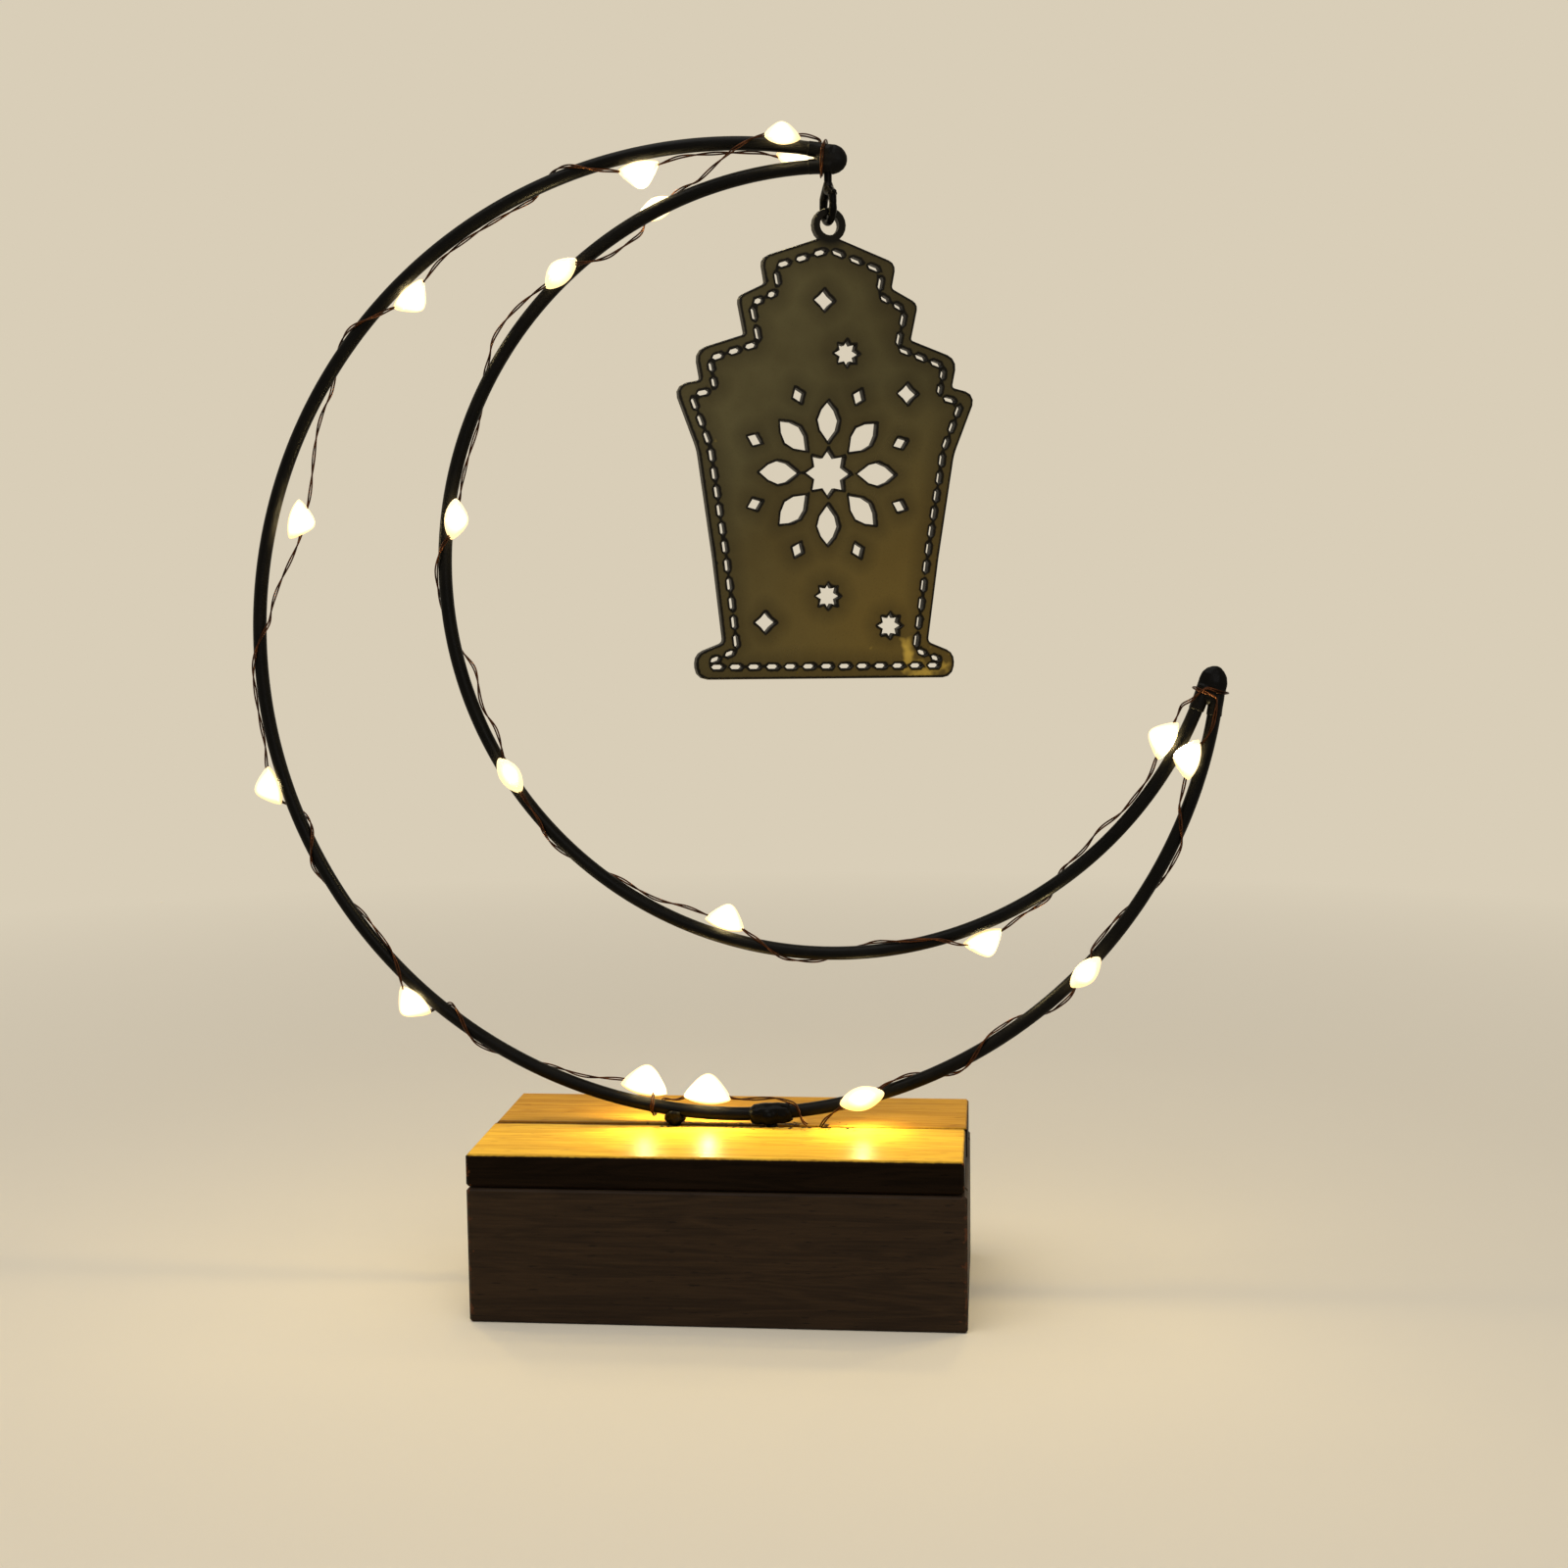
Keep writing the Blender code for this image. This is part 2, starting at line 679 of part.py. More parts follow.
def route_up_the_right():
    """Along the outer rod to the right tip, round both rods and over the first turn."""
    return [
        bead("outer", 285.6, -977),
        held("outer", 290.5, -905),
        held("outer", 297.2, -720),
        held("outer", 303.1, -540),
        held("outer", 306, -530),
        held("outer", 310.7, -360),
        bead("outer", 316.7, -274),
        held("outer", 319.5, -180),
        held("outer", 323, -170),
        held("outer", 331.5, -5),
        held("outer", 334.6, 5),
        held("outer", 337, 90),
        held("outer", 339.5, 150, 2.4 * MM),
        bead("outer", 345.1, 155),
        near_tip("outer", SIDE_TIP, 8.5 * MM, 120),
        near_tip("outer", SIDE_TIP, 5.2 * MM, 90),
        *tip_turns(SIDE_TIP, 3.9 * MM, 1.3 * MM, 0, 7, -1),
        near_tip("inner", SIDE_TIP, 1.8 * MM, 135, 2.5 * MM),
        near_tip("inner", SIDE_TIP, 3.3 * MM, 165, 3.3 * MM),
        near_tip("inner", SIDE_TIP, 5.0 * MM, 165, 3.1 * MM),
    ]


def route_round_the_inside():
    """Back along the inner rod, ending in front of it near the upper tip."""
    return [
        bead("inner", 332.4, 165, 3.1 * MM),
        held("inner", 326, 175),
        held("inner", 315.5, 180, 2.9 * MM),
        held("inner", 308, 190),
        held("inner", 303, 350),
        bead("inner", 292.2, 360),
        held("inner", 285.8, 465),
        held("inner", 278.5, 520),
        held("inner", 267.5, 710),
        held("inner", 264, 730),
        held("inner", 258, 880),
        bead("inner", 253.1, 900, 3.3 * MM),
        held("inner", 247.5, 900, 3.4 * MM),
        held("inner", 237.3, 905),
        held("inner", 225, 1075),
        held("inner", 220.4, 1170),
        bead("inner", 212.4, 1190),
        held("inner", 205, 1260, 2.6 * MM),
        held("inner", 196, 1260, 3.0 * MM),
        held("inner", 190, 1360),
        held("inner", 181, 1440),
        bead("inner", 172.05, 1576),
        held("inner", 166, 1620),
        held("inner", 158, 1640),
        held("inner", 148.5, 1795),
        held("inner", 145.3, 1800, 3.4 * MM),
        bead("inner", 131.8, 1880),
        held("inner", 124.4, 1980, 2.8 * MM),
        held("inner", 119.4, 2000, 2.6 * MM),
        bead("inner", 115.3, 2088),
        held("inner", 111.5, 2140),
        held("inner", 108.3, 2190),
    ]


def route_round_the_top():
    """Across to the outer rod, round both rods at the upper tip and back behind them."""
    return [
        held("inner", 105.05, 2192.4, 4.11 * MM),
        held("outer", 88.5, 124, 2.9 * MM),
        held("outer", 86.3, 60),
        bead("outer", 82.98, 20, 3.2 * MM),
        *tip_turns(TOP_TIP, 2.3 * MM, 1.2 * MM, 1, 8, 1),
        near_tip("outer", TOP_TIP, 0.8 * MM, -104, 2.8 * MM),
        near_tip("outer", TOP_TIP, 1.4 * MM, -114, 3.5 * MM),
        bead("outer", 81.3, -119, 3.5 * MM),
        held("outer", 86, -145),
        held("outer", 93, -170),
    ]


def route_down_the_left():
    """Along the outer rod to the base, over the sleeve there and to the free end."""
    lid = BASE_HEIGHT / MM
    slot = WIRE_SLOT_X / MM
    return [
        bead("outer", 100.2, -180),
        held("outer", 104.3, -205),
        held("outer", 109.5, -355),
        held("outer", 114, -530),
        held("outer", 123.7, -540),
        bead("outer", 132.5, -540, 3.2 * MM),
        held("outer", 136, -560),
        held("outer", 141.2, -710),
        held("outer", 148.8, -900, 2.4 * MM),
        bead("outer", 164.1, -900, 6.8 * MM),
        held("outer", 177.2, -910, 2.4 * MM),
        held("outer", 180.2, -990),
        held("outer", 185, -1075),
        bead("outer", 197.06, -1080),
        held("outer", 203.3, -1260),
        held("outer", 208.5, -1435),
        held("outer", 217, -1610),
        held("outer", 221.5, -1640),
        bead("outer", 228.03, -1760),
        held("outer", 231.8, -1970),
        held("outer", 237.5, -2155),
        held("outer", 249, -2330),
        bead("outer", 258.25, -2340, 4.2 * MM),
        held("outer", 259.75, -2400, 3.2 * MM),
        held("outer", 260.05, -2500),
        held("outer", 260.9, -2680),
        held("outer", 262.4, -2700),
        bead("outer", 266.35, -2700, 4.2 * MM),
        held("outer", 270.0, -2700, 3.1 * MM),
        held("outer", 274.6, -2700, 3.2 * MM),
        held("outer", 277.6, -2750, 3.0 * MM),
        free(slot - 3.2, -2.6, lid + 1.4),
        free(slot - 2.4, -2.3, lid + 0.9),
    ]


def wire_route():
    """Stations of the string, from the battery case to its free end."""
    return [
        *route_from_case(),
        *route_up_the_right(),
        *route_round_the_inside(),
        *route_round_the_top(),
        *route_down_the_left(),
    ]


def bead_frame(stop):
    centre = on_rod(stop["arc"], stop["angle"], stop["phase"], stop["reach"])
    return centre, arc_tangent(stop["angle"])


def station_point(stop):
    if stop["arc"] is None:
        return stop["point"]
    return on_rod(stop["arc"], stop["angle"], stop["phase"], stop["reach"])


def smooth_step(share):
    share = min(1.0, max(0.0, share))
    return share * share * (3 - 2 * share)


def lift_between(here, after, done, run):
    """Reach from the rod's axis: it falls back to the rod between stops that stand off it."""
    lifts = (here["reach"] - WIRE_SEAT, after["reach"] - WIRE_SEAT)
    if run < WIRE_LIFT_RUN * sum(lifts):
        return here["reach"] + (after["reach"] - here["reach"]) * smooth_step(done / run)
    reach = WIRE_SEAT
    for lift, distance in zip(lifts, (done, run - done)):
        if lift > 0:
            reach += lift * (1 - smooth_step(distance / (WIRE_LIFT_RUN * lift)))
    return reach


def stretch(here, after):
    """Points of a helix between two stops on the same rod."""
    bead_half = BEAD_LENGTH / 2 + GAP
    length = abs(math.radians(after["angle"] - here["angle"])) * ARCS[here["arc"]][1]
    from_end = bead_half if here["bead"] else 0.0
    to_end = bead_half if after["bead"] else 0.0
    run = max(length - from_end - to_end, 0.0)
    turns = abs(after["phase"] - here["phase"]) / WIRE_TURN_STEP
    steps = math.ceil(max(turns, run / WIRE_LENGTH_STEP)) if run else 1
    points = []
    for step in range(1, steps):
        done = run * step / steps
        angle = here["angle"] + (from_end + done) / length * (after["angle"] - here["angle"])
        phase = here["phase"] + step / steps * (after["phase"] - here["phase"])
        points.append(on_rod(here["arc"], angle, phase, lift_between(here, after, done, run)))
    return points


def wire_points(route):
    """The string's path: helices along the rods, straight through beads and between rods."""
    points = []
    bead_half = BEAD_LENGTH / 2 + GAP
    for here, after in zip(route, route[1:] + [None]):
        if here["bead"]:
            centre, along = bead_frame(here)
            if along.dot(station_point(after) - centre) < 0:
                along = -along
            points += [centre - along * bead_half, centre + along * bead_half]
        else:
            points.append(station_point(here))
        if after and here["arc"] and here["arc"] == after["arc"]:
            points += stretch(here, after)
    return points


def least_gap(points, diameter, own_length):
    """Least clear distance between stretches of a wire that lie further apart along it."""
    path = [np.array(points[0])]
    for start, end in zip(points, points[1:]):
        steps = max(1, math.ceil((end - start).length / (0.5 * MM)))
        path += [np.array(start.lerp(end, (k + 1) / steps)) for k in range(steps)]
    path = np.array(path)
    along = np.concatenate([[0], np.cumsum(np.linalg.norm(np.diff(path, axis=0), axis=1))])
    least = math.inf
    for count, point in enumerate(path):
        others = along > along[count] + own_length
        if others.any():
            least = min(least, float(np.linalg.norm(path[others] - point, axis=1).min()))
    return least - diameter


def led_string(lamp):
    route = wire_route()
    points = wire_points(route)
    tube("led_wire", points, WIRE_DIAMETER, copper(), lamp, resolution=1)
    gap = least_gap(points, WIRE_DIAMETER, 4 * MM)
    length = sum((b - a).length for a, b in zip(points, points[1:]))
    print(f"led_wire: {len(points)} points, {length / MM:.0f} mm long, gap to itself {gap / MM:.2f} mm")
    beads = [stop for stop in route if stop["bead"]]
    for count, stop in enumerate(beads, start=1):
        led_bead(f"led_bead_{count}", stop, lamp)


def led_bead(name, stop, lamp):
    """A drop of clear resin round the wire, with the wire's bore through it."""
    bore = WIRE_DIAMETER / 2 + GAP
    half = BEAD_LENGTH / 2
    radius = BEAD_DIAMETER / 2
    shoulder, shoulder_out = 0.85 * half, 0.75 * radius
    outline = [
        (bore, -half),
        (shoulder_out, -shoulder),
        (radius, 0),
        (shoulder_out, shoulder),
        (bore, half),
    ]
    centre, along = bead_frame(stop)
    rotation = along.to_track_quat("Z", "Y").to_euler()
    turned(name, outline, warm_resin(), lamp, centre, rotation, sides=8, closed=True)


# Swivel clasp


def clasp_sizes():
    """Heights in the lamp's frame: the collar under the tip and the bar that carries the plate."""
    tip_under = TOP_TIP["middle"].z - (TIP_PITCH + ROD_DIAMETER) / 2
    collar_top = tip_under - COLLAR_BELOW_TIP
    bar_z = TOP_TIP["middle"].z + ROD_DIAMETER / 2 - CLASP_BAR_HEIGHT - GAP
    return {
        "tip_under": tip_under,
        "collar_top": collar_top,
        "collar_low": collar_top - COLLAR_HEIGHT,
        "bar_z": bar_z,
        "half": (CLASP_INNER_WIDTH + CLASP_BAR) / 2,
    }


def swivel_pin(tip_piece, lamp):
    """Headed pin: its top sits in a socket in the tip cap, its head under the clasp's collar."""
    sizes = clasp_sizes()
    radius = SWIVEL_DIAMETER / 2
    top = sizes["tip_under"] + SWIVEL_SOCKET_DEPTH
    head_top = sizes["collar_low"] - GAP
    head_low = head_top - SWIVEL_HEAD_HEIGHT
    head = SWIVEL_HEAD_DIAMETER / 2
    shaft = [(0, top), (radius, top), (radius, head_top)]
    profile = shaft + [(head, head_top), (head, head_low), (0, head_low)]
    turned("swivel_pin", profile, dark_nickel(), lamp, (CLASP_X, 0, 0), sides=12)
    depth = top + GAP - sizes["collar_top"]
    middle = (CLASP_X, 0, top + GAP - depth / 2)
    cut(tip_piece, cylinder("swivel_socket", radius + GAP, depth, None, lamp, middle, sides=12))


def lever_pivot():
    sizes = clasp_sizes()
    return sizes["half"], sizes["collar_low"] - LUG_DROP - sizes["bar_z"]


def clasp_hook(clasp):
    """Hook, collar and lug fused in one casting, in the clasp's own frame with the bar at z 0."""
    sizes = clasp_sizes()
    half = sizes["half"]
    collar_low = sizes["collar_low"] - sizes["bar_z"]
    collar_middle = collar_low + COLLAR_HEIGHT / 2
    pin_x, pin_z = lever_pivot()
    points = [Vector((-COLLAR_DIAMETER / 2 + CLASP_BAR / 4, 0, collar_middle))]
    points.append(Vector((-half, 0, collar_low - CLASP_BAR / 2)))
    for step in range(9):
        turn = math.pi + math.pi * step / 8
        points.append(Vector((half * math.cos(turn), 0, half + half * math.sin(turn))))
    points.append(Vector((half, 0, half + HOOK_OPEN_HEIGHT)))
    hook = tube_mesh("clasp_hook", points, CLASP_BAR, dark_nickel(), clasp)
    collar = cylinder(
        "clasp_collar", COLLAR_DIAMETER / 2, COLLAR_HEIGHT, None, clasp, (0, 0, collar_middle)
    )
    lug_depth = LEVER_THICKNESS + 2 * GAP + 2 * LUG_WALL
    pin_at, upright = (pin_x, 0, pin_z), (math.pi / 2, 0, 0)
    lug = cylinder("clasp_lug", LUG_DIAMETER / 2, lug_depth, None, clasp, pin_at, upright, sides=12)
    web = block(
        "clasp_web",
        (COLLAR_DIAMETER / 4, -lug_depth / 2, pin_z),
        (pin_x, lug_depth / 2, collar_low + COLLAR_HEIGHT / 2),
        None,
        clasp,
    )
    fuse(hook, collar, web, lug)
    hole_radius = SWIVEL_DIAMETER / 2 + GAP
    hole_at = (0, 0, collar_middle)
    hole = cylinder("collar_hole", hole_radius, 3 * COLLAR_HEIGHT, None, clasp, hole_at, sides=12)
    reach = LUG_DIAMETER
    fork = block(
        "lug_fork",
        (pin_x - LUG_DIAMETER / 2 - GAP, -LEVER_THICKNESS / 2 - GAP, pin_z - reach),
        (pin_x + reach, LEVER_THICKNESS / 2 + GAP, pin_z + LUG_DIAMETER / 2 + GAP),
        None,
        clasp,
    )
    pin_radius = LEVER_PIN_DIAMETER / 2
    pin_hole = cylinder("lug_hole", pin_radius + GAP, 2 * lug_depth, None, clasp, pin_at, upright, sides=10)
    cut(hook, hole, fork, pin_hole)
    cylinder("lever_pin", pin_radius, lug_depth, dark_nickel(), clasp, pin_at, upright, sides=10)


def clasp_lever(clasp):
    """Sprung gate between the lug and the hook's end, with a thumb tab outside."""
    sizes = clasp_sizes()
    pin_x, pin_z = lever_pivot()
    gate_low = sizes["half"] + HOOK_OPEN_HEIGHT + GAP - pin_z
    half_bar = CLASP_BAR / 2
    outline = [
        (-half_bar, 0.35 * LUG_DIAMETER),
        (half_bar, 0.4 * LUG_DIAMETER),
        (LEVER_TAB_REACH, 0.5 * LUG_DIAMETER),
        (LEVER_TAB_REACH, 0.15 * LUG_DIAMETER),
        (half_bar, -0.3 * LUG_DIAMETER),
        (half_bar, gate_low),
        (-half_bar, gate_low),
    ]
    hinge = pivot("lever_hinge", (pin_x, 0, pin_z), clasp)
    bm = bmesh.new()
    face = bm.faces.new([bm.verts.new((x, -LEVER_THICKNESS / 2, z)) for x, z in outline])
    grown = bmesh.ops.extrude_face_region(bm, geom=[face])
    moved = [item for item in grown["geom"] if isinstance(item, bmesh.types.BMVert)]
    bmesh.ops.translate(bm, verts=moved, vec=(0, LEVER_THICKNESS, 0))
    lever = mesh_object("clasp_lever", bm, dark_nickel(), (0, 0, 0), hinge, smooth_angle=20)
    centre, upright = (0, 0, 0), (math.pi / 2, 0, 0)
    hole_radius = LEVER_PIN_DIAMETER / 2 + GAP
    hole = cylinder("lever_hole", hole_radius, 3 * LEVER_THICKNESS, None, hinge, centre, upright, sides=10)
    boss_radius = LUG_DIAMETER / 2 - BOSS_INSIDE_LUG
    boss = cylinder("lever_boss", boss_radius, LEVER_THICKNESS, None, hinge, centre, upright, sides=12)
    fuse(lever, boss)
    cut(lever, hole)


# Lantern plate


def half_outline():
    """Corners of the plate's right half below its eye: across, up and corner radius, as drawn."""
    return (
        (14.1, -6.9, 1.9),
        (13.2, -11.9, 0.7),
        (18.9, -14.7, 1.7),
        (17.4, -22.0, 0.5),
        (27.5, -25.4, 2.6),
        (26.4, -31.2, 0.6),
        (31.8, -32.4, 2.8),
        (27.0, -44.7, 12.0),
        (23.8, -66.0, 60.0),
        (21.7, -82.9, 1.0),
        (27.6, -85.2, 2.6),
        (27.3, -90.3, 2.9),
    )


def round_corner(before, corner, after, radius, segments=3):
    """Points of the arc that rounds a corner."""
    to_before = (before - corner).normalized()
    to_after = (after - corner).normalized()
    half_angle = to_before.angle(to_after) / 2
    shorter = min((before - corner).length, (after - corner).length)
    trim = min(radius / math.tan(half_angle), 0.45 * shorter)
    radius = trim * math.tan(half_angle)
    centre = corner + (to_before + to_after).normalized() * math.hypot(trim, radius)
    start = corner + to_before * trim - centre
    end = corner + to_after * trim - centre
    sweep = start.angle_signed(end)
    return [
        centre + Matrix.Rotation(-sweep * k / segments, 2) @ start for k in range(segments + 1)
    ]


def plate_outline():
    """Closed outline: round the eye, down the right side, and its mirror up the left."""
    neck = Vector((0.62, -0.79)).normalized() * EYE_OUTER_RADIUS
    corners = [neck] + [Vector((x, z)) * PLATE_UNIT for x, z, _ in half_outline()]
    corners.append(Vector((0, corners[-1].y)))
    right = [neck]
    for count, (_, _, radius) in enumerate(half_outline(), start=1):
        before, corner, after = corners[count - 1 : count + 2]
        right += round_corner(before, corner, after, radius * PLATE_UNIT)
    left = [Vector((-point.x, point.y)) for point in reversed(right)]
    start = math.atan2(neck.y, neck.x)
    sweep = math.pi - 2 * start
    eye = []
    for k in range(1, 16):
        turn = math.pi - start - sweep * k / 16
        eye.append(EYE_OUTER_RADIUS * Vector((math.cos(turn), math.sin(turn))))
    return right + left + eye


def circle_points(radius, count):
    turns = [math.tau * k / count for k in range(count)]
    return [radius * Vector((math.cos(turn), math.sin(turn))) for turn in turns]


def star_points(middle, star, tips, turn=90.0):
    points = []
    for k in range(2 * tips):
        at = math.radians(turn) + math.pi * k / tips
        reach = star[k % 2] * Vector((math.cos(at), math.sin(at)))
        points.append((Vector(middle) + reach) * PLATE_UNIT)
    return points


def inset(corners, distance):
    """A clockwise polygon's corners moved inward by the same distance from every edge."""
    moved = []
    count = len(corners)
    for k in range(count):
        before, here, after = corners[k - 1], corners[k], corners[(k + 1) % count]
        first = (here - before).normalized()
        second = (after - here).normalized()
        first_in = Vector((first.y, -first.x))
        second_in = Vector((second.y, -second.x))
        bisector = (first_in + second_in).normalized()
        moved.append(here + bisector * distance / bisector.dot(first_in))
    return moved


def stitches():
    """Slots that follow the plate's edge like a row of stitches."""
    right = [Vector((0, -2.2)) * PLATE_UNIT]
    right += [Vector((x, z)) * PLATE_UNIT for x, z, _ in half_outline()]
    left = [Vector((-point.x, point.y)) for point in reversed(right[1:])]
    path = inset(right + left, STITCH_INSET)
    slots = []
    for k, start in enumerate(path):
        edge = path[(k + 1) % len(path)] - start
        count = max(1, round(edge.length / STITCH_PITCH))
        spacing = edge.length / count
        half = min(STITCH_LENGTH, spacing - STITCH_SPACE) / 2
        if half < STITCH_WIDTH / 2:
            continue
        along = edge.normalized()
        aside = Vector((-along.y, along.x)) * STITCH_WIDTH / 2
        for n in range(count):
            middle = start + along * spacing * (n + 0.5)
            tips = (half, half - STITCH_WIDTH / 2)
            slots.append(
                [
                    middle + along * tips[0],
                    middle + along * tips[1] + aside,
                    middle - along * tips[1] + aside,
                    middle - along * tips[0],
                    middle - along * tips[1] - aside,
                    middle + along * tips[1] - aside,
                ]
            )
    return slots


def rosette_part(shape, turn):
    """One cut-out of the rosette, turned about the rosette's middle."""
    turned_round = Matrix.Rotation(math.radians(turn), 2)
    middle = Vector(ROSETTE_MIDDLE)
    return [(middle + turned_round @ Vector(point)) * PLATE_UNIT for point in shape]


def plate_cutouts():
    holes = [circle_points(EYE_HOLE_RADIUS, 20)]
    holes.append(star_points(ROSETTE_MIDDLE, ROSETTE_STAR, ROSETTE_PETALS, turn=0))
    pitch = 360 / ROSETTE_PETALS
    for k in range(ROSETTE_PETALS):
        holes.append(rosette_part(PETAL, pitch * k))
        holes.append(rosette_part(DIAMOND, pitch * (k + 0.5)))
    for middle in LARGE_STARS:
        holes.append(star_points(middle, LARGE_STAR, LARGE_STAR_POINTS))
    for middle in SMALL_STARS:
        holes.append(star_points(middle, SMALL_STAR, SMALL_STAR_POINTS))
    return holes + stitches()


def lantern_plate(swing, eye_drop):
    """Flat plate cut from sheet, its eye centre a little below the swing axis."""
    curve = bpy.data.curves.new("lantern_plate", "CURVE")
    curve.dimensions = "2D"
    curve.fill_mode = "BOTH"
    curve.extrude = PLATE_THICKNESS / 2
    for outline in [plate_outline()] + plate_cutouts():
        spline = curve.splines.new("POLY")
        spline.points.add(len(outline) - 1)
        for target, point in zip(spline.points, outline):
            target.co = (point.x, point.y - eye_drop, 0, 1)
        spline.use_cyclic_u = True
    plate = bpy.data.objects.new("lantern_plate", curve)
    bpy.context.scene.collection.objects.link(plate)
    place(plate, antique_gold(), (0, 0, 0), swing)
    plate.rotation_euler = (math.pi / 2, 0, 0)
    return plate


def pendant(tip_piece, lamp):
    sizes = clasp_sizes()
    swivel_pin(tip_piece, lamp)
    clasp = pivot("clasp_swivel", (CLASP_X, 0, sizes["bar_z"]), lamp, (0, 0, math.radians(CLASP_TURN)))
    clasp_hook(clasp)
    clasp_lever(clasp)
    eye_drop = EYE_HOLE_RADIUS - CLASP_BAR / 2 - EYE_PLAY
    rotation = (0, math.radians(PLATE_TILT), math.radians(PLATE_TURN))
    swing = pivot("plate_swing", (CLASP_X, 0, sizes["bar_z"]), lamp, rotation)
    lantern_plate(swing, eye_drop)


# Battery case


def case_sizes():
    cell_width = 2 * CELL_DIAMETER + 3 * LOOSE_GAP
    bay_length = CELL_LENGTH + SPRING_LENGTH + 2 * CONTACT_THICKNESS + 5 * GAP
    start = -BASE_WIDTH / 2 + BOARD_THICKNESS + CASE_END_SPACE
    bay_start = start + 2 * CASE_WALL + SWITCH_LENGTH + 2 * GAP
    bay_end = bay_start + bay_length
    top = LID_UNDER_Z - 2 * GAP - PAD_THICKNESS
    ceiling = top - CASE_CEILING
    cell_z = ceiling - GAP - CELL_DIAMETER / 2
    floor = cell_z - CELL_DIAMETER / 2 - GAP
    return {
        "start_x": start,
        "bay_start": bay_start,
        "bay_end": bay_end,
        "end_x": bay_end + CASE_WALL,
        "half_bay": cell_width / 2,
        "half_case": cell_width / 2 + CASE_WALL,
        "top": top,
        "ceiling": ceiling,
        "cell_z": cell_z,
        "cell_y": (CELL_DIAMETER + LOOSE_GAP) / 2,
        "floor_z": floor,
        "low": floor - COVER_THICKNESS,
        "wire_z": floor + 0.75 * CELL_DIAMETER,
    }


def battery_case(lamp):
    s = case_sizes()
    end = s["end_x"] + CASE_WALL
    below = s["low"] - CASE_WALL
    case = block(
        "battery_case",
        (s["start_x"], -s["half_case"], s["low"]),
        (s["end_x"], s["half_case"], s["top"]),
        black_plastic(),
        lamp,
        CASE_EDGE_ROUND,
    )
    bay = block(
        "case_bay",
        (s["bay_start"], -s["half_bay"], below),
        (s["bay_end"], s["half_bay"], s["ceiling"]),
        None,
        lamp,
    )
    way_out = block(
        "cover_way_out",
        (s["bay_start"], -s["half_bay"], below),
        (end, s["half_bay"], s["floor_z"] + GAP),
        None,
        lamp,
    )
    groove_half = s["half_bay"] + COVER_TONGUE_REACH + GAP
    grooves = block(
        "cover_grooves",
        (s["bay_start"], -groove_half, s["low"] + CASE_LIP),
        (end, groove_half, s["floor_z"] + GAP),
        None,
        lamp,
    )
    switch_start = s["start_x"] + CASE_WALL
    switch_room = block(
        "switch_room",
        (switch_start, -SWITCH_WIDTH / 2 - GAP, below),
        (switch_start + SWITCH_LENGTH + 2 * GAP, SWITCH_WIDTH / 2 + GAP, s["low"] + SWITCH_HEIGHT + GAP),
        None,
        lamp,
    )
    wire_hole = cylinder(
        "case_wire_hole",
        WIRE_DIAMETER / 2 + LOOSE_GAP,
        4 * CASE_WALL,
        None,
        lamp,
        (s["end_x"], WIRE_EXIT_Y, s["wire_z"]),
        (0, math.pi / 2, 0),
        sides=10,
    )
    cut(case, bay, way_out, grooves, switch_room, wire_hole)
    pad_start = s["start_x"] + CASE_END_SPACE
    block(
        "foam_pad",
        (pad_start, -PAD_WIDTH / 2, s["top"] + GAP),
        (pad_start + PAD_LENGTH, PAD_WIDTH / 2, LID_UNDER_Z - GAP),
        foam(),
        lamp,
    )


def battery_cover(lamp):
    """Sliding cover whose tongues run in the case's grooves, with finger ribs cut in."""
    s = case_sizes()
    start = s["bay_start"] + GAP
    half = s["half_bay"] - GAP
    tongue_half = s["half_bay"] + COVER_TONGUE_REACH
    tongue_low = s["low"] + CASE_LIP + GAP
    low, high = (start, -half, s["low"]), (s["end_x"], half, s["floor_z"])
    cover = block("battery_cover", low, high, black_plastic(), lamp)
    low, high = (start, -tongue_half, tongue_low), (s["end_x"], tongue_half, s["floor_z"])
    tongues = block("cover_tongues", low, high, None, lamp)
    fuse(cover, tongues)
    for k in range(GRIP_GROOVES):
        groove_x = start + GRIP_FROM_END + k * GRIP_PITCH
        groove = block(
            f"grip_groove_{k}",
            (groove_x, -GRIP_WIDTH / 2, s["low"] - CASE_LIP),
            (groove_x + GRIP_PITCH / 2, GRIP_WIDTH / 2, s["low"] + GRIP_DEPTH),
            None,
            lamp,
        )
        cut(cover, groove)


def battery_cell(name, side, facing, lamp):
    s = case_sizes()
    half = CELL_LENGTH / 2
    shoulder = half - CELL_NUB_LENGTH
    radius = CELL_DIAMETER / 2
    nub = CELL_NUB_DIAMETER / 2
    profile = [
        (0, -half),
        (radius - CELL_EDGE, -half),
        (radius, -half + CELL_EDGE),
        (radius, shoulder - CELL_EDGE),
        (radius - CELL_EDGE, shoulder),
        (nub, shoulder),
        (nub, half),
        (0, half),
    ]
    near_nub = CONTACT_THICKNESS + 2 * GAP + half
    middle_x = s["bay_end"] - near_nub if facing > 0 else s["bay_start"] + near_nub
    turned(
        name,
        profile,
        cell_jacket(),
        lamp,
        (middle_x, side * s["cell_y"], s["cell_z"]),
        (0, facing * math.pi / 2, 0),
        sides=20,
    )


